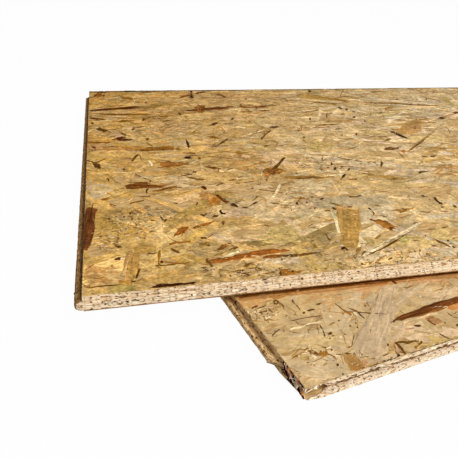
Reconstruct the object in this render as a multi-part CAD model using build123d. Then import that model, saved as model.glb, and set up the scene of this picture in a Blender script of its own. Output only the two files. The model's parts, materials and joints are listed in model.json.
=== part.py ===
import os

from build123d import *

# Face size of one flooring panel
panel_length = 2050.0
panel_width = 675.0
panel_thickness = 15.0

# Small bevel along the edges of both faces
arris = 0.5

# Milled tongue, tapered towards a rounded nose
tongue_length = 6.0
tongue_root = 5.2
tongue_nose = 4.4
tongue_nose_radius = 1.2

# A tongue ends before the corner where the next edge's groove runs out,
# and its end slants back over the run-out
tongue_stop = 28.0
tongue_run_out = 9.0

# Room round a tongue that is pushed home in the groove
groove_side_clearance = 0.2
groove_end_clearance = 1.0
groove_bottom_radius = 0.9

# How the upper panel lies on the lower one: its front left corner, measured
# from the lower panel's front left corner, and its turn about the vertical
upper_corner_x = -114.0
upper_corner_y = 128.0
upper_turn = -11.0

middle_height = panel_thickness / 2
groove_depth = tongue_length + groove_end_clearance

# Swaps the long and the short edge that meet at the front left corner
corner_diagonal = Plane(origin=(0, 0, 0), z_dir=(1, -1, 0))


# Tapered section, pointing along its own X from the root to a rounded end
def tapered_section(root, end, length, radius):
    outline = Polyline(
        (0, -root / 2),
        (length, -end / 2),
        (length, end / 2),
        (0, root / 2),
        close=True,
    )
    section = make_face(outline)
    end_corners = section.vertices().group_by(Axis.X)[-1]
    return fillet(end_corners, radius)


# Plane across an edge that runs along X, with its own X pointing towards -Y
def across_edge(start_x, edge_y):
    return Plane(origin=(start_x, edge_y, middle_height), x_dir=(0, -1, 0), z_dir=(-1, 0, 0))


# Tongue along the front edge, from the corner to its slanted end
def straight_tongue(edge_length, section):
    end_x = edge_length - tongue_stop
    bar = extrude(across_edge(0, 0) * section, amount=end_x, dir=(1, 0, 0))
    slant = Polyline(
        (end_x, 0),
        (end_x, -tongue_length),
        (end_x - tongue_run_out, -tongue_length),
        close=True,
    )
    return bar - extrude(make_face(slant), amount=panel_thickness, dir=(0, 0, 1))


# Groove cutter along an edge that faces +Y, open at both ends
def straight_groove(edge_length, edge_y, section):
    overrun = groove_depth
    run_length = edge_length + 2 * overrun
    return extrude(across_edge(-overrun, edge_y) * section, amount=run_length, dir=(1, 0, 0))


# One panel, its front left face corner at the origin and its underside at Z 0:
# tongue on the front and left edges, groove on the back and right edges
def flooring_panel():
    board = Box(
        panel_length,
        panel_width,
        panel_thickness,
        align=(Align.MIN, Align.MIN, Align.MIN),
    )
    faces_by_height = board.faces().sort_by(Axis.Z)
    face_edges = faces_by_height[0].edges() + faces_by_height[-1].edges()
    board = chamfer(face_edges, arris)

    tongue = tapered_section(tongue_root, tongue_nose, tongue_length, tongue_nose_radius)
    front_tongue = straight_tongue(panel_length, tongue)
    left_tongue = mirror(straight_tongue(panel_width, tongue), about=corner_diagonal)
    corner_tongue = revolve(across_edge(0, 0) * tongue, axis=Axis.Z, revolution_arc=-90)

    groove = tapered_section(
        tongue_root + 2 * groove_side_clearance,
        tongue_nose + 2 * groove_side_clearance,
        groove_depth,
        groove_bottom_radius,
    )
    back_groove = straight_groove(panel_length, panel_width, groove)
    right_groove = mirror(straight_groove(panel_width, panel_length, groove), about=corner_diagonal)

    return board + front_tongue + left_tongue + corner_tongue - back_groove - right_groove


# The lower panel is turned over about its long axis, so its groove faces the front
panel = flooring_panel()
lower_panel = Pos(0, panel_width, panel_thickness) * Rot(180, 0, 0) * panel
upper_panel = Pos(upper_corner_x, upper_corner_y, panel_thickness) * Rot(0, 0, upper_turn) * panel

# The origin is at the middle of the stack's footprint, on the floor
stack_box = Compound([lower_panel, upper_panel]).bounding_box()
to_origin = Pos(-stack_box.center().X, -stack_box.center().Y, -stack_box.min.Z)

os.makedirs("parts", exist_ok=True)
export_step(to_origin * lower_panel, "parts/lower_panel.step")
export_step(to_origin * upper_panel, "parts/upper_panel.step")
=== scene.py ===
import json
import math
import bpy
import numpy as np
from mathutils import Matrix, Vector

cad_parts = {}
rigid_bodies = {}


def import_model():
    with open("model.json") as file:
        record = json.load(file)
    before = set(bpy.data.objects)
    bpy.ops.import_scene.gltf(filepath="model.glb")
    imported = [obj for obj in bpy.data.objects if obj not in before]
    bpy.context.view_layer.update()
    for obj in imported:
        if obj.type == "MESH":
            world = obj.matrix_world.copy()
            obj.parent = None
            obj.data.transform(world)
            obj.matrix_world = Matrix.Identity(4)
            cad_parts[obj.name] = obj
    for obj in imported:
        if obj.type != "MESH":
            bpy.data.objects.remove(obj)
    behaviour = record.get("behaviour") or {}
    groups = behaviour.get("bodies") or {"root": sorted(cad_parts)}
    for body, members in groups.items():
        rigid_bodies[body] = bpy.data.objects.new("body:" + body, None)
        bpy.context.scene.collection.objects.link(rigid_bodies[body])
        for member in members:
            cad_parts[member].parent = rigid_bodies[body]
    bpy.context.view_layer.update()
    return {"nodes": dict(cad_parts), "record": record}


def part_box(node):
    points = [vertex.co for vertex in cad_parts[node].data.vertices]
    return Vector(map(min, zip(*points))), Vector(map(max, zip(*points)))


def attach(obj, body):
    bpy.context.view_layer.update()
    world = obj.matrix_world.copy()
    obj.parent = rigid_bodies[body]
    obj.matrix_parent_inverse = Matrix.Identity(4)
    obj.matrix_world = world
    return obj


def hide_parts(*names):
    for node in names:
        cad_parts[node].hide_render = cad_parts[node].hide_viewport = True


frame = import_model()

bpy.ops.object.select_all(action="DESELECT")
mountList = {m["name"]: m for m in frame["record"]["mounts"]}
millimetre = 0.001
imageSize = 458    # pixels, the photograph is square
grainReach = 3000  # mm, the grain of two flakes starts up to this far apart
neutralRim = 0.5   # a rim as dark as the flake itself, painted highlight rims and painted shadow rims are as much below and above it


# sRGB hex to linear colour
def linear(hexCode):
    values = [int(hexCode[i:i + 2], 16) / 255 for i in (1, 3, 5)]
    return tuple(v / 12.92 if v <= 0.04045 else ((v + 0.055) / 1.055) ** 2.4 for v in values)


# one node with its settings and links: inputs take a value or another node's output socket
def addNode(tree, kind, settings=None, **inputs):
    node = tree.nodes.new(kind)
    for key, value in (settings or {}).items():
        setattr(node, key, value)
    for key, value in inputs.items():
        socket = node.inputs[int(key[1:])] if key[1:].isdigit() else node.inputs[key.replace("_", " ")]
        if isinstance(value, bpy.types.NodeSocket):
            tree.links.new(value, socket)
        else:
            socket.default_value = value
    return node


def newMaterial(name):
    material = bpy.data.materials.new(name)
    material.use_nodes = True
    material.node_tree.nodes.clear()
    return material, material.node_tree


# panel frames, read from the tongue and groove mounts
def panelFrame(leftMount, frontMount, longGroove, shortGroove):
    left = mountList[leftMount]
    front = mountList[frontMount]
    alongX = -Vector(left["axis"])
    alongY = -Vector(front["axis"])
    length = mountList[longGroove]["dims"]["length_mm"]
    width = mountList[shortGroove]["dims"]["length_mm"]
    corner = Vector(front["pos_m"]) - alongX * (length / 2 * millimetre)
    matrix = Matrix.Identity(4)
    for row in range(3):
        matrix[row][0] = alongX[row] * millimetre
        matrix[row][1] = alongY[row] * millimetre
        matrix[row][2] = millimetre if row == 2 else 0
        matrix[row][3] = corner[row]
    return {"matrix": matrix, "length": length, "width": width}


# panel coordinates are millimetres: x from the left edge, y from the front edge, z from mid thickness
upper = panelFrame("upper_left_tongue", "upper_front_tongue", "upper_back_groove", "upper_right_groove")
lower = panelFrame("lower_left_tongue", "lower_front_groove", "lower_front_groove", "lower_right_groove")
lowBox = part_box("lower_panel")
thickness = (lowBox[1].z - lowBox[0].z) / millimetre
print("panels:", upper["length"], "x", upper["width"], "x", round(thickness, 2), "mm")


# camera, fitted to the panel edges in the photograph
cameraSettings = {
    "place": (26.87, -312.58, 245.79),  # mm from the upper panel's front left corner, height above the floor
    "azimuth": -14.756,                 # degrees, against the upper panel's length
    "elevation": 27.703,
    "roll": 2.669,
    "focalPixels": 494.6,
    "opticalCentre": (229, 229),        # pixels
    "clipStart": 0.01,                  # metres
}


def makeCamera(s):
    azimuth = math.radians(s["azimuth"])
    elevation = math.radians(s["elevation"])
    roll = math.radians(s["roll"])
    flat = math.cos(elevation)
    back = Vector((math.sin(azimuth) * flat, -math.cos(azimuth) * flat, math.sin(elevation)))
    level = Vector((math.cos(azimuth), math.sin(azimuth), 0))
    rise = back.cross(level)
    right = level * math.cos(roll) + rise * math.sin(roll)
    up = rise * math.cos(roll) - level * math.sin(roll)
    turn = upper["matrix"].to_3x3().normalized()
    place = upper["matrix"] @ Vector((s["place"][0], s["place"][1], 0))
    place.z = s["place"][2] * millimetre
    axes = [turn @ right, turn @ up, turn @ back]
    matrix = Matrix.Identity(4)
    for row in range(3):
        for column in range(3):
            matrix[row][column] = axes[column][row]
        matrix[row][3] = place[row]
    data = bpy.data.cameras.new("camera")
    data.sensor_fit = "HORIZONTAL"
    data.lens = s["focalPixels"] * data.sensor_width / imageSize
    data.shift_x = (imageSize / 2 - s["opticalCentre"][0]) / imageSize
    data.shift_y = (s["opticalCentre"][1] - imageSize / 2) / imageSize
    data.clip_start = s["clipStart"]
    camera = bpy.data.objects.new("camera", data)
    bpy.context.scene.collection.objects.link(camera)
    camera.matrix_world = matrix
    bpy.context.scene.camera = camera
    return place, axes


cameraPlace, cameraAxes = makeCamera(cameraSettings)


# where a pixel of the photograph meets a panel's top face, in panel millimetres
def pixelOnFace(panel, pixel):
    s = cameraSettings
    across = (pixel[0] - s["opticalCentre"][0]) / s["focalPixels"]
    upward = (s["opticalCentre"][1] - pixel[1]) / s["focalPixels"]
    ray = cameraAxes[0] * across + cameraAxes[1] * upward - cameraAxes[2]
    inverse = panel["matrix"].inverted()
    start = inverse @ cameraPlace
    step = inverse.to_3x3() @ ray
    reach = (thickness / 2 - start.z) / step.z
    return start.x + step.x * reach, start.y + step.y * reach


print("camera done")

# boards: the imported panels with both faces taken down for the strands, and their edges cut fine and roughened
boardSettings = {
    "faceDrop": 0.8,                      # mm, the strands make up this much of each face
    "mouth": 3.4, "grooveEnd": 6.3,       # mm, painted shade darkens the groove's walls from here to the milled bottom
    "seamSize": 0.002, "flatTurn": 3,     # mm and degrees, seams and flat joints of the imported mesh
    "mergeSize": 0.45,                    # mm, small steps of the milled fillets become one
    "shoulder": 2.6,                      # mm, height of the tongue's root above the middle
    "lengthPieces": 50, "widthPieces": 16,
    "edgeCuts": ((25, 60, 13), (3.3, 5.0, 1), (5.0, 7.0, 2)),  # edges between two sizes in mm, cuts in each
    "skin": 0.01,                         # mm, points this near to a flat face stay in it
    # size and depth in mm, dark and bright end of the cloud pattern, and the level that stays in place
    "fibres": (3.5, 0.5, 0.2, 0.8, 0.6),
    "pits": (2.6, 1.3, 0.24, 0.36, 1.0),
    "finesSlot": 2, "wallSlot": 3, "lipSlot": 4,  # places in the list of materials
    "largeFace": 200,                     # corners, only the two flat faces have more
}


def bisectAt(point, normal, clearOuter=False):
    bpy.ops.mesh.select_all(action="SELECT")
    bpy.ops.mesh.bisect(plane_co=point, plane_no=normal, clear_outer=clearOuter)


def pointArray(mesh):
    points = np.empty(len(mesh.vertices) * 3)
    mesh.vertices.foreach_get("co", points)
    return points.reshape(-1, 3)


# cuts every edge whose length in millimetres is between two sizes
def cutEdges(mesh, shortest, longest, cuts):
    bpy.ops.object.mode_set(mode="OBJECT")
    ends = np.empty(len(mesh.edges) * 2, dtype=np.int32)
    mesh.edges.foreach_get("vertices", ends)
    points = pointArray(mesh)
    span = np.linalg.norm(points[ends[0::2]] - points[ends[1::2]], axis=1)
    mesh.vertices.foreach_set("select", np.zeros(len(mesh.vertices), dtype=bool))
    mesh.polygons.foreach_set("select", np.zeros(len(mesh.polygons), dtype=bool))
    mesh.edges.foreach_set("select", (span > shortest) & (span <= longest))
    bpy.ops.object.mode_set(mode="EDIT")
    bpy.ops.mesh.subdivide(number_cuts=cuts)


# moves the grouped points in or out by a cloud pattern, then keeps the result
def roughen(board, group, size, depth, darkEnd, brightEnd, middle):
    texture = bpy.data.textures.new(board.name + group, "CLOUDS")
    texture.noise_scale = size
    texture.use_color_ramp = True
    texture.color_ramp.elements[0].position = darkEnd
    texture.color_ramp.elements[1].position = brightEnd
    texture.color_ramp.elements[0].color = (0, 0, 0, 1)
    texture.color_ramp.elements[1].color = (1, 1, 1, 1)
    change = board.modifiers.new(group, "DISPLACE")
    change.texture = texture
    change.texture_coords = "LOCAL"
    change.vertex_group = group
    change.strength = depth
    change.mid_level = middle
    bpy.ops.object.modifier_apply(modifier=change.name)


def makeBoard(name, node, panel, endMaterial, lipMaterial, torn, s):
    mesh = frame["nodes"][node].data.copy()
    mesh.materials.clear()
    mesh.transform(panel["matrix"].inverted())
    board = bpy.data.objects.new(name, mesh)
    bpy.context.scene.collection.objects.link(board)
    bpy.ops.object.select_all(action="DESELECT")
    board.select_set(True)
    bpy.context.view_layer.objects.active = board
    bpy.ops.object.mode_set(mode="EDIT")
    bpy.ops.mesh.select_mode(type="EDGE")
    bpy.ops.mesh.select_all(action="SELECT")
    bpy.ops.mesh.remove_doubles(threshold=s["seamSize"])
    bpy.ops.mesh.dissolve_limited(angle_limit=math.radians(s["flatTurn"]))
    bpy.ops.mesh.select_all(action="SELECT")
    bpy.ops.mesh.remove_doubles(threshold=s["mergeSize"])
    top = thickness / 2 - s["faceDrop"]
    for side in (1, -1):
        bisectAt((0, 0, side * top), (0, 0, side), clearOuter=True)
        bisectAt((0, 0, side * s["shoulder"]), (0, 0, side))
    grid = ((0, panel["length"], s["lengthPieces"]), (1, panel["width"], s["widthPieces"]))
    for axis, size, pieces in grid:
        for step in range(1, pieces):
            across = Vector((axis == 0, axis == 1, 0))
            bisectAt(across * (size * step / pieces), across)
    if torn:
        edges = (Vector((torn["chipLength"], 0, -top)), Vector((0, torn["chipWidth"], -top)))
        tip = Vector((0, 0, torn["chipHeight"] - top))
        outward = (edges[0] - tip).cross(edges[1] - tip).normalized()
        outward = outward if outward.z < 0 else -outward
        bpy.ops.mesh.select_all(action="SELECT")
        bpy.ops.mesh.bisect(plane_co=tip, plane_no=outward, use_fill=True, clear_outer=True)
    for shortest, longest, cuts in s["edgeCuts"]:
        cutEdges(mesh, shortest, longest, cuts)
    bpy.ops.object.mode_set(mode="OBJECT")

    points = pointArray(mesh)
    offFace = np.abs(points[:, 2]) < top - s["skin"]
    milled = board.vertex_groups.new(name="milled")
    milled.add(np.flatnonzero(offFace).tolist(), 1.0, "REPLACE")
    roughen(board, "milled", *s["fibres"])
    roughen(board, "milled", *s["pits"])
    if torn:
        alongX = (points[:, 0] - torn["x"]) / torn["sizeX"]
        alongY = (points[:, 1] - torn["y"]) / torn["sizeY"]
        tornPart = board.vertex_groups.new(name="torn")
        tornPart.add(np.flatnonzero((np.hypot(alongX, alongY) < 1) & offFace).tolist(), 1.0, "REPLACE")
        roughen(board, "torn", *torn["rough"])

    bpy.ops.object.mode_set(mode="EDIT")
    bpy.ops.mesh.select_all(action="SELECT")
    bpy.ops.mesh.fill_holes(sides=0)
    bpy.ops.mesh.select_all(action="SELECT")
    bpy.ops.mesh.normals_make_consistent(inside=False)
    bpy.ops.object.mode_set(mode="OBJECT")

    # edge coordinates in millimetres: along the edge, and up and out of it
    layer = mesh.uv_layers.new(name="grain")
    for material in (milledEdge, endMaterial, pressedFines, paintedShadeGrooveWall, lipMaterial):
        mesh.materials.append(material)
    for face in mesh.polygons:
        middle = face.center
        gaps = (middle.y, panel["width"] - middle.y, middle.x, panel["length"] - middle.x)
        nearest = gaps.index(min(gaps))
        face.material_index = nearest // 2
        # painted shade on the groove's walls
        if s["mouth"] < gaps[nearest] < s["grooveEnd"]:
            face.material_index = s["wallSlot"]
        # below the middle of the front side: the upper panel gets a lip in painted warm shade, the lower panel
        # a clean milled lip
        elif nearest == 0 and middle.z < -s["shoulder"]:
            face.material_index = s["lipSlot"]
        if torn and max(gaps[0], gaps[2]) < torn["sizeX"]:
            face.material_index = s["lipSlot"]
        if len(face.vertices) > s["largeFace"]:
            face.material_index = s["finesSlot"]
        along = 0 if nearest < 2 else 1
        for corner in face.loop_indices:
            point = mesh.vertices[mesh.loops[corner].vertex_index].co
            outward = (-point.y, point.y, -point.x, point.x)[nearest]
            layer.data[corner].uv = (point[along] + grainReach * nearest, point.z + outward)
    mesh.transform(panel["matrix"])
    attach(board, "root")
    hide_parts(node)
    print(name, len(mesh.polygons), "faces")


# noise stretched to a size along and across
def stretchedNoise(tree, source, scale, detail, shift=(0, 0, 0)):
    place = addNode(tree, "ShaderNodeMapping", Vector=source, Location=shift, Scale=scale)
    return addNode(tree, "ShaderNodeTexNoise", Vector=place.outputs[0], Scale=1.0, Detail=detail)


def toneRamp(tree, value, first, last, between=None):
    ramp = addNode(tree, "ShaderNodeValToRGB", Fac=value)
    stops = ramp.color_ramp.elements
    for stop, (position, code) in zip(stops, (first, last)):
        stop.position = position
        stop.color = (*linear(code), 1)
    if between:
        stops.new(between[0]).color = (*linear(between[1]), 1)
    return ramp


# matt wood with a relief from a height pattern, and the material's output
def finishWood(tree, colour, height, s):
    relief = addNode(tree, "ShaderNodeBump", Height=height, Strength=s["relief"], Distance=s["depth"])
    shader = addNode(tree, "ShaderNodeBsdfPrincipled", Base_Color=colour, Roughness=s["roughness"],
                     Specular_IOR_Level=s["shine"], Normal=relief.outputs[0])
    addNode(tree, "ShaderNodeOutputMaterial", Surface=shader.outputs[0])


# a milled edge cuts through pressed strands: thin flat layers with dark voids between them, pale along the
# panel's length, and browner on the short sides, where the cut goes across the grain
edgeTones = {
    "milled strand edge": ("#96703f", "#dcc09a", "#f4e2c4", "#5e3e20"),
    "milled strand ends": ("#a0703e", "#cda066", "#e4c696", "#3a2210"),
    # the upper panel's short sides: painted shade, darker as they face away from the light
    "dirty strand ends": ("#5a3f22", "#7d5a34", "#a07a4c", "#2a1808"),
    # the recess under the upper panel's front tongue: painted warm shade
    "resin-stained lip": ("#9c5a28", "#bc783c", "#cc9050", "#4a2410"),
    "clean milled lip": ("#b89060", "#e2c8a4", "#f2e2c8", "#6e4a2a"),
    # inside the groove: painted shade
    "milled groove wall": ("#6c4a26", "#8e683c", "#b08a56", "#22120a"),
}
milledSettings = {
    "layerScale": (1 / 7, 1 / 1.2, 1), "layerDetail": 3.0,  # layers to a mm along and up the edge
    "lowStop": 0.28, "middleStop": 0.44, "highStop": 0.66,
    "voidScale": (1 / 2.6, 1 / 1.3, 1), "voidDetail": 1.0, "voidFrom": 0.33, "voidTo": 0.44,
    "roughness": 0.75, "shine": 0.02, "relief": 0.5, "depth": 0.0005,  # depth in metres
}


def milledMaterial(name, s):
    low, middle, high, gap = edgeTones[name]
    material, tree = newMaterial(name)
    grain = addNode(tree, "ShaderNodeUVMap", {"uv_map": "grain"})
    layers = stretchedNoise(tree, grain.outputs[0], s["layerScale"], s["layerDetail"])
    tone = toneRamp(tree, layers.outputs[0], (s["lowStop"], low), (s["highStop"], high),
                    (s["middleStop"], middle))
    voids = stretchedNoise(tree, grain.outputs[0], s["voidScale"], s["voidDetail"])
    depth = addNode(tree, "ShaderNodeMapRange", Value=voids.outputs[0],
                    From_Min=s["voidFrom"], From_Max=s["voidTo"])
    colour = addNode(tree, "ShaderNodeMix", {"data_type": "RGBA"}, Factor=depth.outputs[0],
                     _6=(*linear(gap), 1), _7=tone.outputs[0])
    finishWood(tree, colour.outputs[2], layers.outputs[0], s)
    return material


# fines fill the face between the strands: short splinters and dust under resin, brownish and matt
finesSettings = {
    "gritScale": (120, 400, 400), "gritDetail": 3.0,  # grains to a metre
    "low": (0.34, "#a98450"), "high": (0.66, "#d6b27a"),
    "roughness": 0.7, "shine": 0.02, "relief": 0.5, "depth": 0.0006,
}


def finesMaterial(s):
    material, tree = newMaterial("pressed wood fines")
    place = addNode(tree, "ShaderNodeTexCoord")
    grit = stretchedNoise(tree, place.outputs["Object"], s["gritScale"], s["gritDetail"])
    tone = toneRamp(tree, grit.outputs[0], s["low"], s["high"])
    finishWood(tree, tone.outputs[0], grit.outputs[0], s)
    return material


milledEdge = milledMaterial("milled strand edge", milledSettings)
milledEnd = milledMaterial("milled strand ends", milledSettings)
paintedShadeEnd = milledMaterial("dirty strand ends", milledSettings)
paintedShadeGrooveWall = milledMaterial("milled groove wall", milledSettings)
paintedShadeLip = milledMaterial("resin-stained lip", milledSettings)
cleanLip = milledMaterial("clean milled lip", milledSettings)
pressedFines = finesMaterial(finesSettings)
tornCorner = {                              # mm, lower front left corner
    "x": 0, "y": 6, "sizeX": 16, "sizeY": 34, "rough": (6, 2.2, 0.35, 0.6, 1.0),
    "chipLength": 16, "chipWidth": 30, "chipHeight": 5, "reach": 22, "inset": 2, "clear": 40, "margin": 8,
}
makeBoard("upperBoard", "upper_panel", upper, paintedShadeEnd, paintedShadeLip, None, boardSettings)
makeBoard("lowerBoard", "lower_panel", lower, milledEnd, cleanLip, tornCorner, boardSettings)


# strand templates: a flat flake with ragged ends, closed, one unit long, wide and thick
templateSeed = 11
endStart = 0.38  # from the middle, in lengths of the flake: the ends narrow from here on
strandTemplate = {"kinds": 9, "columns": 4, "raggedness": 0.13, "endWidth": (0.25, 1.0), "firstSeed": 0}
chipTemplate = {"kinds": 6, "columns": 2, "raggedness": 0.16, "endWidth": (0.05, 0.8), "firstSeed": 50}


def makeTemplate(columns, raggedness, tipWidth, tailWidth, seed):
    bpy.ops.object.select_all(action="DESELECT")
    bpy.ops.mesh.primitive_grid_add(x_subdivisions=columns, y_subdivisions=1, size=1)
    flake = bpy.context.object
    bpy.ops.object.mode_set(mode="EDIT")
    bpy.ops.mesh.select_all(action="SELECT")
    bpy.ops.transform.vertex_random(offset=raggedness, uniform=1.0, normal=0.0, seed=seed)
    bpy.ops.transform.resize(value=(1, 1, 0))
    for side, share in ((1, tipWidth), (-1, tailWidth)):  # both ends narrow by themselves
        bpy.ops.object.mode_set(mode="OBJECT")
        for vertex in flake.data.vertices:
            vertex.select = vertex.co.x * side > endStart
        bpy.ops.object.mode_set(mode="EDIT")
        bpy.ops.transform.resize(value=(1, share, 1), center_override=(0.5 * side, 0, 0))
    bpy.ops.mesh.select_all(action="SELECT")
    bpy.ops.mesh.extrude_region_move(TRANSFORM_OT_translate={"value": (0, 0, -1)})
    bpy.ops.mesh.select_all(action="SELECT")
    bpy.ops.mesh.normals_make_consistent(inside=False)
    bpy.ops.object.mode_set(mode="OBJECT")
    mesh = flake.data
    points = np.array([v.co for v in mesh.vertices])
    quads = np.array([list(p.vertices) for p in mesh.polygons])
    bpy.data.objects.remove(flake)
    bpy.data.meshes.remove(mesh)
    return points, quads


def makeTemplates(rng, s):
    shapes = []
    for kind in range(s["kinds"]):
        tip, tail = rng.uniform(*s["endWidth"], 2)
        shapes.append(makeTemplate(s["columns"], s["raggedness"], tip, tail, s["firstSeed"] + kind))
    return shapes


templateDraws = np.random.default_rng(templateSeed)
strandShapes = makeTemplates(templateDraws, strandTemplate)
chipShapes = makeTemplates(templateDraws, chipTemplate)
print("templates:", len(strandShapes), "strands,", len(chipShapes), "chips")


# flat faces of a panel that flakes lie on: a corner, the directions along, up and out, and the size
def flatFace(panel, side):
    half = Vector((0, 0, thickness / 2))
    size = (panel["length"], panel["width"])
    if side == "top":
        return {"corner": half, "axes": ((1, 0, 0), (0, 1, 0), (0, 0, 1)), "size": size}
    corner = Vector((0, panel["width"], 0)) - half
    return {"corner": corner, "axes": ((1, 0, 0), (0, -1, 0), (0, 0, -1)), "size": size}


def sideFace(panel, side, out, low, high):
    length = panel["length"]
    width = panel["width"]
    corner, along, outward, reach = {
        "front": ((0, 0, low), (1, 0, 0), (0, -1, 0), length),
        "back": ((length, width, low), (-1, 0, 0), (0, 1, 0), length),
        "left": ((0, width, low), (0, -1, 0), (-1, 0, 0), width),
        "right": ((length, 0, low), (0, 1, 0), (1, 0, 0), width),
    }[side]
    return {"corner": Vector(corner) + Vector(outward) * out, "axes": (along, (0, 0, 1), outward),
            "size": (reach, high - low)}


thinnest = 0.05     # mm, least thickness of a flake
acrossShift = 0.37  # share of the grain's shift along a flake that it shifts across


# every row is a flake: its template is turned, sized and laid on the face, and cut off at the border
def flakeArrays(shapes, rows, face, s):
    parts = []
    for kind, (shape, faces) in enumerate(shapes):
        pick = rows["kind"] == kind
        row = {key: value[pick][:, None] for key, value in rows.items() if key != "tone"}
        under = (shape[:, 2] < -0.5)[None, :]
        skirt = np.where(under, 2 * s["bevel"] + 2 * s["farBevel"] * row["y"] / face["size"][1], 0)
        along = shape[None, :, 0] * (row["length"] + skirt)
        across = shape[None, :, 1] * (row["width"] + skirt)
        across = across + row["bow"] * (4 * shape[None, :, 0] ** 2 - 0.5)
        x = row["x"] + along * np.cos(row["angle"]) - across * np.sin(row["angle"])
        y = row["y"] + along * np.sin(row["angle"]) + across * np.cos(row["angle"])
        z = row["height"] + row["tilt"] * shape[None, :, 0] + row["twist"] * shape[None, :, 1]
        z = np.where(under, s["seat"], np.clip(z, s["seat"] + thinnest, s["ceiling"]))
        border = s["border"] + s["borderSpread"] * np.mod(row["grainShift"], 1)
        x = np.clip(x, border, face["size"][0] - border)
        y = np.clip(y, border, face["size"][1] - border)
        place = np.stack([x, y, z], -1) @ np.array(face["axes"], dtype=float) + np.array(face["corner"])
        inside = (x > border) & (x < face["size"][0] - border)
        inside &= (y > border) & (y < face["size"][1] - border)
        # the skirt of a flake inside the face takes the rim: painted shadow, on some flakes a painted highlight
        rim = (neutralRim + s["rim"] * row["rimSide"] * (under & inside))[..., None]
        colour = np.broadcast_to(rows["tone"][pick][:, None, :], (*x.shape, 3))
        grain = np.stack([along + row["grainShift"], across + row["grainShift"] * acrossShift], -1)
        offsets = np.arange(pick.sum())[:, None, None] * len(shape)
        parts.append({
            "points": place.reshape(-1, 3),
            "tones": np.concatenate([colour, rim], -1).reshape(-1, 4),
            "grains": grain.reshape(-1, 2),
            "quads": (faces[None] + offsets).reshape(-1, 4),
        })
    return parts


# joins flakes into one piece, with tone and rim (painted highlight and shadow at the flake's edge) as a point
# colour and the grain in millimetres as a UV map
def joinFlakes(name, parts, panel):
    starts = np.cumsum([0] + [len(part["points"]) for part in parts[:-1]])
    quads = np.concatenate([part["quads"] + start for part, start in zip(parts, starts)])
    points = np.concatenate([part["points"] for part in parts])
    mesh = bpy.data.meshes.new(name)
    mesh.vertices.add(len(points))
    mesh.vertices.foreach_set("co", points.ravel())
    mesh.loops.add(quads.size)
    mesh.loops.foreach_set("vertex_index", quads.ravel().astype(np.int32))
    mesh.polygons.add(len(quads))
    mesh.polygons.foreach_set("loop_start", np.arange(0, quads.size, 4, dtype=np.int32))
    mesh.update(calc_edges=True)
    mesh.shade_flat()
    tones = np.concatenate([part["tones"] for part in parts])
    grains = np.concatenate([part["grains"] for part in parts])
    finishPiece(name, mesh, panel, quads.ravel(), tones, grains)


def finishPiece(name, mesh, panel, corners, tones, grains):
    colour = mesh.color_attributes.new("tone", "FLOAT_COLOR", "POINT")
    colour.data.foreach_set("color", tones.ravel().astype(np.float32))
    layer = mesh.uv_layers.new(name="grain")
    layer.data.foreach_set("uv", grains[corners].ravel().astype(np.float32))
    mesh.transform(panel["matrix"])
    mesh.materials.append(smoothStrand if name.startswith(("lowerTop", "upperUnder")) else roughStrand)
    piece = bpy.data.objects.new(name, mesh)
    bpy.context.scene.collection.objects.link(piece)
    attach(piece, "root")
    print(name, len(mesh.polygons), "faces")


# pine strands pressed flat with resin and wax: matt, fine lines along the grain, dark pits and pale torn
# flecks, and along each strand's edge a painted shadow line, on some strands a painted highlight instead
strandWood = {
    "roughness": 0.62, "shine": 0.01, "relief": 0.5, "depth": 0.0005,
    "paleRim": 1.6, "darkRim": 0.4,   # the tone's factor at both ends of the rim's range: painted highlight and painted shadow
    "paleShift": (3.1, 1.7, 0),       # moves the pale flecks off the pits
}


def strandMaterial(name, contrast, s):
    material, tree = newMaterial(name)
    tone = addNode(tree, "ShaderNodeAttribute", {"attribute_name": "tone"})
    grain = addNode(tree, "ShaderNodeUVMap", {"uv_map": "grain"})
    place = addNode(tree, "ShaderNodeTexCoord")
    patterns = (
        # where from, size along and across (grain in mm, object in metres), detail, noise range, dark, bright
        (grain.outputs[0], 70, 3.2, 2.0, 0.30, 0.70, 0.93, 1.06),                # growth rings
        (grain.outputs[0], 22, 1.7, 3.0, 0.30, 0.70, 0.89, 1.10),                # fibres
        (place.outputs["Object"], 0.0030, 0.0024, 2.0, 0.32, 0.68, 0.76, 1.22),  # grit
        (place.outputs["Object"], 0.0085, 0.0105, 3.0, 0.36, 0.64, 0.80, 1.17),  # hollows and burrs
        (place.outputs["Object"], 0.042, 0.040, 3.0, 0.30, 0.70, 0.80, 1.16),    # stain and wax patches
        (place.outputs["Object"], 0.0052, 0.0044, 1.0, 0.22, 0.32, 0.50, 1.0),   # pits
        (place.outputs["Object"], 0.0060, 0.0048, 1.0, 0.66, 0.76, 1.0, 1.28),   # torn pale flecks
    )
    value = None
    for source, sizeAlong, sizeAcross, detail, low, high, dark, bright in patterns:
        shift = (0, 0, 0) if dark < 1 else s["paleShift"]
        noise = stretchedNoise(tree, source, (1 / sizeAlong, 1 / sizeAcross, 1), detail, shift)
        part = addNode(tree, "ShaderNodeMapRange", Value=noise.outputs[0], From_Min=low, From_Max=high,
                       To_Min=1 + (dark - 1) * contrast, To_Max=1 + (bright - 1) * contrast)
        if value:
            part = addNode(tree, "ShaderNodeMath", {"operation": "MULTIPLY"},
                           _0=value.outputs[0], _1=part.outputs[0])
        value = part
    rim = addNode(tree, "ShaderNodeMapRange", Value=tone.outputs["Alpha"],
                  To_Min=s["paleRim"], To_Max=s["darkRim"])
    rimmed = addNode(tree, "ShaderNodeMath", {"operation": "MULTIPLY"},
                     _0=value.outputs[0], _1=rim.outputs[0])
    colour = addNode(tree, "ShaderNodeHueSaturation", Color=tone.outputs["Color"], Value=rimmed.outputs[0])
    finishWood(tree, colour.outputs[0], value.outputs[0], s)
    return material


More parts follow.
